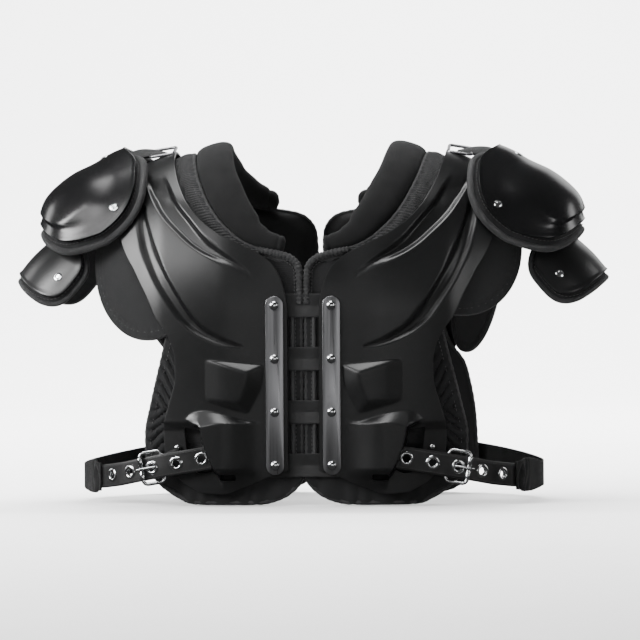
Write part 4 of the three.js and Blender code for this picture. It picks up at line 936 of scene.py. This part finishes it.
def make_neck_rolls():
    spots = [(mix(PAD_GAP_HALF, SHELL_REACH, across), station) for across, station in ROLL_ROUTE]
    reach = -PAD_SETBACK - PAD_THICKNESS / 2
    edge = SmoothPath([lifted(frame_of(form_point, x, s), reach) for x, s in spots])
    stations = SmoothPath([(x, s, 0) for x, s in spots])

    def place(u, along):
        spot = stations.at(along)
        normal = frame_of(form_point, spot.x, spot.y)[1]
        inward = normal.cross(edge.direction(along)).normalized()
        end = min(along, 1 - along)
        closing = math.sqrt(max(0, 1 - (1 - min(1, end / 0.022)) ** 2))
        half_width = 21 * read(ROLL_SECTION, along, 1)
        half_thickness = 11 * read(ROLL_SECTION, along, 2)
        centre = edge.at(along) + inward * (half_width + 2.2)
        angle = 2 * math.pi * u
        c, s = math.cos(angle), math.sin(angle)
        swell = 1 + 0.012 * math.sin(along * 61) * math.sin(angle * 2 + along * 9)
        seam = 1 - 0.1 * sum(math.exp(-((along - at) / 0.008) ** 2) for at in (0.045, 0.955))
        wide = half_width * math.copysign(abs(c) ** 0.8, c) * closing * swell * seam
        thick = half_thickness * math.copysign(abs(s) ** 0.8, s) * closing * swell * seam
        return centre + inward * wide + normal * thick

    roll = grid_sheet("left_neck_roll_cover", 32, 150, place, (0.12, 0.4))
    edit_whole(
        roll,
        (bpy.ops.mesh.remove_doubles, {"threshold": 0.00002}),
        (bpy.ops.mesh.normals_make_consistent, {"inside": False}),
    )
    smooth(roll, 70)
    dress_pair(roll, ROLL_CLOTH, ["neck_roll"])


# Cups, epaulets and flaps

def bent_plate(rows, start_x, reach, top_z, drop, length, lean, inner_radius, outer_radius):
    crest = SmoothPath([(start_x + reach * r, 0, top_z - drop * d) for r, d in rows])
    fall = Vector((-math.sin(math.radians(lean)), 0, -math.cos(math.radians(lean))))

    def place(s, t):
        share = min(1, max(0, s / length))
        radius = mix(inner_radius, outer_radius, share)
        top = crest.at(share) + crest.direction(min(0.99, max(0.01, share))) * (s - share * length)
        angle = t / radius
        top += fall * (radius * (1 - math.cos(angle)))
        top.y += radius * math.sin(angle)
        return top

    return place


CUP_PLACE = bent_plate(CUP_CREST, 206, 97, 387, 80, 131, 29, 112, 96)
EPAULET_PLACE = bent_plate(EPAULET_CREST, 266, 57.5, 302, 52, 77, 44, 78, 78)


def on_ring(ring, angle, roundness):
    c, s = math.cos(angle), math.sin(angle)
    stretch = ring * (abs(c) ** roundness + abs(s) ** roundness) ** (-1 / roundness)
    return stretch * c, stretch * s


def on_front(x, z):
    """Point and normal of the body form's front at a height."""
    return frame_of(lambda a, b: form_point(a, station_at(a, b)), x, z)


def cup_spot(p, q, margin=0.0, inner_margin=0.0):
    s = 65.5 + p * (65.5 + (inner_margin if p < 0 else margin))
    s -= 13 * ramp(abs(q), 0.08, 0.5) * (1 - ramp(p, -0.9, 0.7))
    span = (136 + margin) * (1 - 0.16 * max(0, p))
    return frame_of(CUP_PLACE, s, q * span)


def epaulet_spot(p, q, margin=0.0):
    s = 38.5 + p * 38.5 + max(0, p) * margin
    span = 108 * (1 - 0.14 * (1 - p) / 2) + margin
    return frame_of(EPAULET_PLACE, s, q * span)


def front_flap_spot(bottom):
    def spot(p, q):
        return on_front(mix(116, 235, (1 + p) / 2) + 3 * q, mix(bottom, 336, (1 + q) / 2))
    return spot


def back_flap_spot(p, q):
    return on_front(mix(155, 205, (1 + p) / 2) + 14 * q, mix(158, 300, (1 + q) / 2))


def disc(name, cells, roundness, spot, offset, size):
    """A square grid rounded into a disc, with p and q from -1 to 1. ring is the share of the way out."""
    def place(u, v):
        a, b = 2 * u - 1, 2 * v - 1
        ring = max(abs(a), abs(b))
        p, q = on_ring(ring, math.atan2(b, a), roundness)
        return lifted(spot(p, q), offset(ring, p, q))
    return grid_sheet(name, cells, cells, place, size)


def rim_line(spot, roundness, ring, offset):
    """A line round a disc at a share of the way out."""
    angles = [2 * math.pi * (k / 160) for k in range(160)]
    return [lifted(spot(*on_ring(ring, angle, roundness)), offset) for angle in angles]


def cushion(name, cells, roundness, spot, face, depth, rim_depth, seam_ring, size, flat_inside=False):
    """A padded disc with its face a way under the spots: crowned, thin at its edge, with a sewn channel."""
    depths = []

    def profile(ring, p, q):
        swell = ramp(1 - ring, 0, 0.16)
        channel = 1 - 0.35 * math.exp(-((ring - seam_ring) / 0.022) ** 2)
        here = mix(rim_depth, depth, swell) * channel
        if flat_inside:
            here *= mix(0.36, 1, ramp(p, -0.45, 0.1))
        depths.append(here / depth)
        ripple = 0.35 * math.sin(math.atan2(q, p) * 46) * math.exp(-((ring - seam_ring) / 0.06) ** 2)
        return -face - (here if flat_inside else depth) / 2 + ripple * 0.6

    piece = disc(name, cells, roundness, spot, profile, size)
    thicken(piece, depth, depths, 0.0)
    smooth(piece, 60)
    return piece


def dress_rim(name, spot, roundness, piping, seam):
    """Piping round a pad's edge (ring, offset, radius, roundness) and its stitches (ring, offset)."""
    ring, offset, radius, facets = piping
    bead = tube(f"{name}_piping", rim_line(spot, roundness, ring, offset), radius, True, facets)
    dress_pair(bead, PIPING_TAPE)
    thread = stitches(f"{name}_stitches", rim_line(spot, roundness, *seam), True)
    dress_pair(thread, THREAD)


def cup_offset(ring, p, q):
    """The cup's raised panel stands above its inner band and the flange round its outer and lower edges."""
    bank = mix(0.2, 0.045, ramp(p, 0, 0.55))
    panel = ramp(p, -0.55, -0.05) * (1 - ramp(ring, 0.885 - bank, 0.885))
    lip = 0.7 * ramp(ring, 0.97, 1)
    flare = 4.5 * (1 - ramp(p, -0.9, -0.15)) * (1 - ramp(abs(q), 0.1, 0.5))
    return lip + flare - 3.8 * (1 - panel)


def make_cups():
    cup = disc("left_cup_moulding", 72, CUP_ROUNDNESS, cup_spot, cup_offset, (0.14, 0.27))
    thicken(cup, 3)
    ease_edges(cup, 0.9)
    smooth(cup, 40)
    dress_pair(cup, CUP_PLASTIC, ["cup"])

    def pad_spot(p, q):
        return cup_spot(p, q, 10, 7 * ramp(abs(q), 0.06, 0.4) - 6 * (1 - ramp(abs(q), 0.1, 0.3)))

    pad = cushion("left_cup_cushion", 64, CUP_ROUNDNESS, pad_spot, 7.6, 11, 7, 0.905, (0.16, 0.3))
    dress_pair(pad, LINER_CLOTH, ["cup_pad"])
    dress_rim("left_cup", pad_spot, CUP_ROUNDNESS, (1.0, -11.6, 4.1, 3), (0.935, -8.1))


def make_epaulets():
    plate = disc("left_epaulet_moulding", 56, EPAULET_ROUNDNESS, epaulet_spot,
                 lambda ring, p, q: 0.7 * ramp(ring, 0.93, 0.98), (0.084, 0.21))
    thicken(plate, 2.5)
    ease_edges(plate, 0.8)
    smooth(plate, 40)
    dress_pair(plate, SHELL_PLASTIC, ["epaulet"])

    def pad_spot(p, q):
        return epaulet_spot(p, q, 6)

    pad = cushion("left_epaulet_cushion", 52, EPAULET_ROUNDNESS, pad_spot, 3.1, 8, 5, 0.9, (0.09, 0.22))
    dress_pair(pad, LINER_CLOTH, ["epaulet_pad"])
    dress_rim("left_epaulet", pad_spot, EPAULET_ROUNDNESS, (1.0, -6.3, 3.0, 2), (0.95, -3.4))


def make_flap(side, name, spot, front):
    label = f"{side}_{name}"
    pad = cushion(f"{label}_cushion", 60, FLAP_ROUNDNESS, spot, FLAP_FACE, 8, 4.5, 0.9, (0.12, 0.16), front)
    piping = tube(f"{label}_piping", rim_line(spot, FLAP_ROUNDNESS, 0.985, -FLAP_FACE - 2.6), 2.6, True)
    thread = stitches(f"{label}_stitches", rim_line(spot, FLAP_ROUNDNESS, 0.9, -FLAP_FACE - 0.3), True)
    for piece in (pad, piping, thread):
        if not front:
            mirror(piece, (0, 1, 0), SHIFT_Y * MM)
        if side == "right":
            mirror(piece, (1, 0, 0))
    dress(pad, FLAP_CLOTH, [label])
    dress(piping, PIPING_TAPE)
    dress(thread, THREAD)


def make_flaps():
    for side, bottom in (("left", 203), ("right", 178)):
        make_flap(side, "front_arm_flap", front_flap_spot(bottom), True)
        make_flap(side, "back_arm_flap", back_flap_spot, False)


# Front plates, rivets and straps

def rivet_matrix(spot, direction):
    """Places a lathed rivet, whose head points along +Y, with its seat at a spot."""
    turn = Vector((0, 1, 0)).rotation_difference(direction).to_matrix().to_4x4()
    return Matrix.Translation(spot) @ turn


DOME = [
    (0, -1), (2.4, -1), (2.4, 0), (5, 0), (5.05, 0.5), (4.7, 1.4), (3.9, 2.3), (2.7, 2.95), (1.3, 3.25),
    (0, 3.3),
]
SNAP = [
    (0, -1), (2, -1), (2, 0), (4.6, 0), (4.7, 0.4), (4.3, 0.9), (3.1, 1.1), (2.6, 0.8), (1.4, 0.7), (0, 1.0),
]


def make_plates():
    half_width, top = 9.5, PLATE_BOTTOM + PLATE_LENGTH
    plate = rounded_box("left_lacing_plate", (PLATE_CENTRE - half_width, -PLATE_FACE, PLATE_BOTTOM),
                        (PLATE_CENTRE + half_width, 2 - PLATE_FACE, top), half_width - 0.01, 14)
    ease_edges(plate, 0.45, 3, 50)
    smooth(plate, 35)
    dress_pair(plate, SATIN_STEEL, ["front_plate"])
    head = lathe("rivet_dome", DOME, 28)
    for index, z in enumerate(RIVET_HEIGHTS, 1):
        seat = rivet_matrix((PLATE_CENTRE, -PLATE_FACE, z), Vector((0, -1, 0)))
        dress_pair(twin_of(head, f"left_plate_rivet_head_{index}", seat), BRIGHT_CHROME,
                   [f"plate_rivet_{index}"])
    return head


def webbing_face(z):
    top = max(SPRING_HEIGHT, z + WEBBING_WIDTH / 2)
    return -form_point(STRAP_END, station_at(STRAP_END, top)).y - SHELL_WALL - 0.4


def make_lacing():
    """The straps that lace the two halves, four in front (side -1) and three behind (side 1)."""
    for side, heights, name, node in ((-1, RIVET_HEIGHTS, "front_lace_webbing", "front_lace_strap"),
                                      (1, (60, 120, 180), "back_webbing", "back_strap")):
        for index, z in enumerate(heights, 1):
            middle = side * (webbing_face(z) - 0.8)

            def place(u, v, side=side, z=z, middle=middle):
                bow = 0.24 * math.sin(u * 17 + z) * math.sin(v * 3) if side < 0 else 0.0
                return Vector((side * STRAP_END * (1 - 2 * u), middle + bow, z + (v - 0.5) * WEBBING_WIDTH))

            strap = make_tape(grid_sheet(f"{name}_{index}", 48, 12, place, (0.074, 0.0254)), 1.6)
            dress(strap, WEBBING_TAPE, [f"{node}_{index}"])


# Side belts

def belt_corners():
    corners = [Vector((82, -depth_at(82) - 4.5, 0))]
    for index, (heading, _) in enumerate(BELT_FACETS):
        length = 14 if index == 0 else 16 if index == len(BELT_FACETS) - 1 else EYELET_PITCH
        angle = math.radians(heading)
        corners.append(corners[-1] + Vector((math.cos(angle), math.sin(angle), 0)) * length)
    for index, corner in enumerate(corners):
        rise = BELT_FACETS[index][1] if index < len(BELT_FACETS) else 0.55
        corner.z = BELT_HEIGHT * rise
    return corners


BELT_CORNERS = belt_corners()


def facet_matrix(index):
    """X along a belt facet, Y out of the belt and Z up, in mm."""
    start, end = BELT_CORNERS[index], BELT_CORNERS[index + 1]
    along = (end - start).normalized()
    out = Vector((along.y, -along.x, 0)).normalized()
    up = out.cross(along)
    matrix = Matrix((along, out, up)).transposed().to_4x4()
    return Matrix.Translation((start + end) / 2) @ matrix


def rounded_corner(before, corner, after, radius):
    start = corner + (before - corner).normalized() * radius
    end = corner + (after - corner).normalized() * radius
    shares = (0, 0.2, 0.4, 0.6, 0.8, 1)
    return [start * (1 - t) ** 2 + corner * 2 * t * (1 - t) + end * t ** 2 for t in shares]


def ribbon(name, line, width, thickness, rows=10, wave=None, edge_rounding=0.6, spread=None):
    """A flat strap standing on edge along its middle line. spread scales its width along the line."""
    points = [p for p, _ in spaced(line, 1.6)]
    count = len(points) - 1

    def place(u, v):
        at = u * count
        k = min(count - 1, int(at))
        middle = points[k].lerp(points[k + 1], at - k)
        ahead = points[min(count, k + 2)] - points[max(0, k - 1)]
        out = Vector((ahead.y, -ahead.x, 0)).normalized()
        shift = wave(u, v) if wave else 0.0
        reach = width * (spread(u) if spread else 1.0)
        return middle + Vector((0, 0, (v - 0.5) * reach)) + out * shift

    strap = grid_sheet(name, count, rows, place, (count * 0.0016, width * MM))
    return make_tape(strap, thickness, edge_rounding)


def make_belts(rivet):
    line = [BELT_CORNERS[0]]
    for before, corner, after in zip(BELT_CORNERS, BELT_CORNERS[1:], BELT_CORNERS[2:]):
        line += rounded_corner(before, corner, after, 6)
    line.append(BELT_CORNERS[-1])
    belt = ribbon("left_side_belt", line, BELT_WIDTH, 3, 8)
    for index in EYELET_NUMBERS:
        bpy.ops.object.select_all(action="DESELECT")
        bpy.ops.mesh.primitive_cylinder_add(vertices=24, radius=5, depth=20, rotation=(math.pi / 2, 0, 0))
        hole = bpy.context.object
        bpy.ops.object.transform_apply(rotation=True)
        set_down(hole, facet_matrix(index))
        cut_out(belt, hole)
    smooth(belt, 50)
    dress_pair(belt, BELT_LEATHER, ["belt_strap"])
    points = spaced(line, 2)
    for label, rise in (("lower", 2.6 - BELT_WIDTH / 2), ("upper", BELT_WIDTH / 2 - 2.6)):
        seam = [p + Vector((d.y, -d.x, 0)).normalized() * 1.55 + Vector((0, 0, rise)) for p, d in points[4:]]
        dress_pair(stitches(f"left_belt_{label}_stitches", seam, pitch=3.4, length=2.5, radius=0.32),
                   THREAD)
    ring = lathe("eyelet_ring", [
        (4.0, -1.9), (4.9, -1.9), (4.9, 1.6), (7.3, 1.6), (7.5, 1.85), (7.1, 2.3), (6.2, 2.75), (5.2, 2.8),
        (4.4, 2.45), (4.0, 1.8),
    ], 32)
    washer = lathe("eyelet_washer", [
        (4.2, -2.5), (7, -2.3), (7.2, -1.9), (7, -1.6), (4.9, -1.6), (4.4, -2.0),
    ], 28)
    for index in EYELET_NUMBERS:
        place = facet_matrix(index)
        dress_pair(twin_of(ring, f"left_eyelet_ring_{index}", place), BRIGHT_CHROME,
                   [f"belt_eyelet_{index}"])
        dress_pair(twin_of(washer, f"left_eyelet_washer_{index}", place), BRIGHT_CHROME)
    bpy.data.objects.remove(ring)
    bpy.data.objects.remove(washer)
    make_buckles()
    make_anchors(rivet)
    make_elastics()


def facet_line(points):
    """Points given on the belt facet that carries the buckle."""
    return [facet_matrix(BUCKLE_FACET) @ Vector(p) for p in points]


def make_buckles():
    half_length, half_width, lift, corner = 11, 17, 4.6, 5
    ring = []
    for sx, sz, start in ((1, 1, 0), (-1, 1, 90), (-1, -1, 180), (1, -1, 270)):
        for turn in range(0, 91, 15):
            angle = math.radians(start + turn)
            x = sx * (half_length - corner) + corner * math.cos(angle)
            z = sz * (half_width - corner) + corner * math.sin(angle)
            ring.append((x, lift * x / half_length, z))
    frame_wire = tube("left_buckle_frame", facet_line(ring), 2.0, True, 4)
    dress_pair(frame_wire, BRIGHT_CHROME, ["buckle"])
    roller = lathe("left_buckle_roller", [
        (1.9, -12), (2.6, -12), (2.8, -11.6), (2.8, -4), (2.6, -3.7), (2.6, 3.7), (2.8, 4), (2.8, 11.6),
        (2.6, 12), (1.9, 12),
    ], 24)
    turn = Matrix.Rotation(math.pi / 2, 4, "X")
    set_down(roller, facet_matrix(BUCKLE_FACET) @ Matrix.Translation((half_length, lift, 0)) @ turn)
    dress_pair(roller, BRIGHT_CHROME)
    prong = SmoothPath([
        (-half_length - 1.6, -lift - 0.6, 0), (-half_length, -lift + 2.2, 0),
        (-half_length * 0.6, -lift * 0.2, 0), (-half_length * 0.1, lift * 0.62, 0),
        (half_length * 0.45, lift * 1.25, 0),
        (half_length * 1.12, lift + 3.9, 0), (half_length * 1.32, lift + 3.2, 0),
    ])
    wire = tube("left_buckle_prong", facet_line([prong.at(k / 30) for k in range(31)]), 1.45, False, 3)
    dress_pair(wire, BRIGHT_CHROME)


def make_anchors(rivet):
    line = []
    for share in (k / 12 for k in range(13)):
        x = mix(133, 149, share)
        line.append(Vector((x, -depth_at(x) - 1.8, mix(50, BELT_HEIGHT * 0.83, share))))
    strap = ribbon("left_buckle_tab", line, 27, 2, 10)
    dress_pair(strap, WEBBING_TAPE, ["buckle_anchor"])
    spot = Vector((137, -depth_at(137) - 2.8, 62))
    out = frame_of(form_point, 137, -62)[1]
    small = twin_of(rivet, "left_tab_rivet")
    small.data.transform(Matrix.Scale(0.62, 4))
    set_down(small, rivet_matrix(spot, out))
    dress_pair(small, BRIGHT_CHROME)


def elastic_line():
    end = BELT_CORNERS[-1]
    heading = math.radians(BELT_FACETS[-1][0])
    out = Vector((math.sin(heading), -math.cos(heading), 0))
    back = Vector((-math.cos(heading), -math.sin(heading), 0)) * 9.6
    lift = out * 2.9
    line = [end + back + lift, end + lift]
    line += [Vector((a * HALF_WIDTH, d * HALF_DEPTH, r * BELT_HEIGHT)) for a, d, r in ELASTIC_ROUTE]
    for across in (0.62, 0.565, 0.51):
        x = across * HALF_WIDTH
        line.append(Vector((x, depth_at(x) + 1.8, BELT_HEIGHT * 0.84)))
    return line


def make_elastics():
    path = SmoothPath(elastic_line())
    line = [path.at(k / 120) for k in range(121)]

    def gather(u, v):
        wrap = (1 - ramp(u, 0.07, 0.13)) * ramp(u, 0.0, 0.012)
        crease = math.sin(u * 190 + 2.6 * math.sin(v * 4.1 + u * 20))
        fold = 2.6 * math.exp(-((u - 0.034 - 0.008 * math.sin(v * 3)) / 0.009) ** 2)
        return (1.1 * crease + fold) * wrap

    band = ribbon("left_side_elastic", line, 36, 2.4, 16, gather, 0.7,
                  lambda u: mix(mix(0.84, 1, ramp(u, 0.0, 0.07)), 0.76, ramp(u, 0.12, 0.26)))
    dress_pair(band, ELASTIC_TAPE, ["belt_elastic"])


# Straps on the shoulders

def crest_point(x, y, lift):
    station = math.degrees(math.acos(max(-1, min(1, -y / depth_at(x)))))
    return lifted(frame_of(form_point, x, station), lift)


def strap_over(name, columns, half_width, thickness):
    paths = {}

    def place(u, v):
        y = mix(-half_width, half_width, v)
        key = round(y, 4)
        if key not in paths:
            paths[key] = SmoothPath([column(y) for column in columns])
        return paths[key].at(u)

    strap = grid_sheet(name, 10 * len(columns), 10, place, (0.12, half_width * 2 * MM))
    return make_tape(strap, thickness)


def make_shoulder_straps():
    strap = strap_over("left_shoulder_webbing", [
        lambda y: crest_point(160, y, 1.9 + y * 0.06), lambda y: crest_point(167, y, 5.6 + y * 0.22),
        lambda y: crest_point(175, y, 9.4 + y * 0.36), lambda y: crest_point(184, y, 13.2 + y * 0.42),
        lambda y: crest_point(194, y, 16.6 + y * 0.36),
        lambda y: lifted(frame_of(CUP_PLACE, -1, y), -3.4),
        lambda y: lifted(frame_of(CUP_PLACE, 19.6, y), -7.6),
    ], 12.5, 2.4)
    dress_pair(strap, WEBBING_TAPE, ["shoulder_strap"])
    inner, outer = crest_point(150, 0, 3.2), crest_point(173, 0, 8)
    sides = ((inner, -18), (outer, -18), (outer, 18), (inner, 18))
    corners = [Vector((p.x, y, p.z - 1.4 + 0.22 * y)) for p, y in sides]
    ring = []
    for k, corner in enumerate(corners):
        ring += rounded_corner(corners[k - 1], corner, corners[(k + 1) % 4], 4.5)
    dress_pair(tube("left_shoulder_loop", ring, 1.7, True, 4), SATIN_STEEL, ["shoulder_ring"])

    def fall(x, z):
        return lambda y: Vector((x, y, z - y * y / 156))

    hanger = strap_over("left_hanger_webbing", [
        lambda y: crest_point(205, y, 1.7), lambda y: crest_point(223, y, 1.7),
        fall(234, 345.7), fall(242, 313), fall(245, 292),
        lambda y: lifted(frame_of(EPAULET_PLACE, 5, y), -13.7),
        lambda y: lifted(frame_of(EPAULET_PLACE, 30, y), -13.7),
    ], 17, 1.8)
    dress_pair(hanger, WEBBING_TAPE, ["hanger_strap"])


def make_small_rivets():
    """Rivets on the cups and epaulets."""
    head = lathe("snap_head", SNAP, 24)
    spots = [
        ("cup_rivet_low", cup_spot(-0.34, -0.87), -3.5), ("cup_rivet_top_1", cup_spot(-0.64, -0.1), -0.9),
        ("cup_rivet_top_2", cup_spot(-0.64, 0.1), -0.9), ("epaulet_rivet", epaulet_spot(0.2, -0.82), 0.2),
        ("cup_rivet_back", cup_spot(-0.34, 0.87), -3.6), ("epaulet_rivet_back", epaulet_spot(0.2, 0.82), 0.2),
    ]
    for name, spot, lift in spots:
        seat = rivet_matrix(lifted(spot, lift), spot[1])
        dress_pair(twin_of(head, f"left_{name}", seat), BRIGHT_CHROME)
    bpy.data.objects.remove(head)


# Stage

def make_stage():
    """A pale paper sweep: a floor that curves up into a backdrop."""
    def profile(v):
        flat, radius, wall = 7.0, 1.6, 3.2
        bend = radius * math.pi / 2
        along = v * (flat + bend + wall)
        if along < flat:
            return along - 4.4, 0.0
        if along < flat + bend:
            angle = (along - flat) / radius
            return flat - 4.4 + radius * math.sin(angle), radius * (1 - math.cos(angle))
        return flat - 4.4 + radius, radius + along - flat - bend

    bpy.ops.object.select_all(action="DESELECT")
    bpy.ops.mesh.primitive_grid_add(x_subdivisions=2, y_subdivisions=160, size=2)
    sweep = bpy.context.object
    sweep.name = sweep.data.name = "paper_sweep"
    for vertex in sweep.data.vertices:
        y, z = profile((vertex.co.y + 1) / 2)
        vertex.co = (vertex.co.x * 5, y, z - 0.0005)
    smooth(sweep, 60)
    finish = Finish("studio_paper", roughness=0.9, specular_ior_level=0.1)
    grain = finish.pattern(MOULDED_SKIN, Vector=finish.position)
    finish.colour(grain["Smudges"], (0.86, 0.86, 0.86), (0.9, 0.9, 0.9))
    tree = finish.material.node_tree
    facing = tree.nodes.new("ShaderNodeNewGeometry")
    clear = tree.nodes.new("ShaderNodeBsdfTransparent")
    one_sided = tree.nodes.new("ShaderNodeMixShader")
    paper = tree.nodes["Material Output"].inputs["Surface"].links[0].from_socket
    tree.links.new(facing.outputs["Backfacing"], one_sided.inputs[0])
    tree.links.new(paper, one_sided.inputs[1])
    tree.links.new(clear.outputs[0], one_sided.inputs[2])
    tree.links.new(one_sided.outputs[0], tree.nodes["Material Output"].inputs["Surface"])
    sweep.data.materials.append(finish.material)
    sweep.visible_glossy = False

    world = bpy.context.scene.world or bpy.data.worlds.new("studio")
    bpy.context.scene.world = world
    world.use_nodes = True
    background = world.node_tree.nodes["Background"]
    background.inputs["Color"].default_value = (1, 1, 1, 1)
    rays = world.node_tree.nodes.new("ShaderNodeLightPath")
    strength = world.node_tree.nodes.new("ShaderNodeMath")
    strength.operation = "MULTIPLY_ADD"
    strength.inputs[1].default_value, strength.inputs[2].default_value = 0.8, 0.05
    world.node_tree.links.new(rays.outputs["Is Camera Ray"], strength.inputs[0])
    world.node_tree.links.new(strength.outputs[0], background.inputs["Strength"])

    for name, place, aim, size, power, mirrored_in_gloss in (
        ("key_softbox", (-2.3, -1.15, 1.25), (0, 0, 0.25), (0.8, 1.4), 120, True),
        ("front_softbox", (-1.5, -2.1, 1.6), (0, 0, 0.25), (0.7, 0.9), 22, True),
        ("fill_softbox", (2.4, -1.7, 0.9), (0, 0, 0.2), (0.4, 1.3), 12, True),
        ("top_softbox", (-0.35, -0.1, 2.4), (-0.05, 0, 0.2), (1.7, 1.3), 84, True),
        ("back_softbox", (0.6, 2.4, 1.2), (0, 0, 0.2), (1.8, 1.3), 13, True),
        ("low_front_softbox", (0.3, -2.6, 0.35), (0, 0, 0.2), (1.6, 0.35), 4, True),
        ("left_rim_softbox", (-2.0, 0.9, 0.9), (0, 0, 0.25), (0.5, 1.2), 12, True),
        ("right_rim_softbox", (2.0, 0.9, 0.9), (0, 0, 0.25), (0.5, 1.2), 9, True),
        ("floor_wash", (0, 2.3, 3.0), (0, 0.4, 0), (3.6, 1.6), 190, False),
        ("backdrop_wash", (0, 1.6, 3.6), (0, 4.2, 0.6), (4.5, 1.2), 720, False),
    ):
        bpy.ops.object.light_add(type="AREA", location=place)
        light = bpy.context.object
        light.name = name
        light.data.shape = "RECTANGLE"
        light.data.size, light.data.size_y = size
        light.data.energy = power
        light.visible_glossy = mirrored_in_gloss
        light.rotation_euler = (Vector(aim) - Vector(place)).to_track_quat("-Z", "Y").to_euler()


def make_camera():
    aim = Vector((0.0082, 0, 0.196))
    azimuth, elevation, distance = math.radians(4.2), math.radians(1.0), 5.0
    away = Vector((math.sin(azimuth) * math.cos(elevation), -math.cos(azimuth) * math.cos(elevation),
                   math.sin(elevation)))
    bpy.ops.object.camera_add(location=aim + away * distance)
    camera = bpy.context.object
    camera.name = "photo_camera"
    camera.data.lens = 256
    camera.data.sensor_width = 36
    roll = Matrix.Rotation(math.radians(-0.4), 4, "Z").to_quaternion()
    camera.rotation_euler = ((-away).to_track_quat("-Z", "Y") @ roll).to_euler()
    bpy.context.scene.camera = camera


make_stage()
make_camera()
make_shells()
make_body_pads()
make_neck_binding()
make_neck_rolls()
make_cups()
make_epaulets()
make_flaps()
dome = make_plates()
make_lacing()
make_belts(dome)
bpy.data.objects.remove(dome)
make_shoulder_straps()
make_small_rivets()
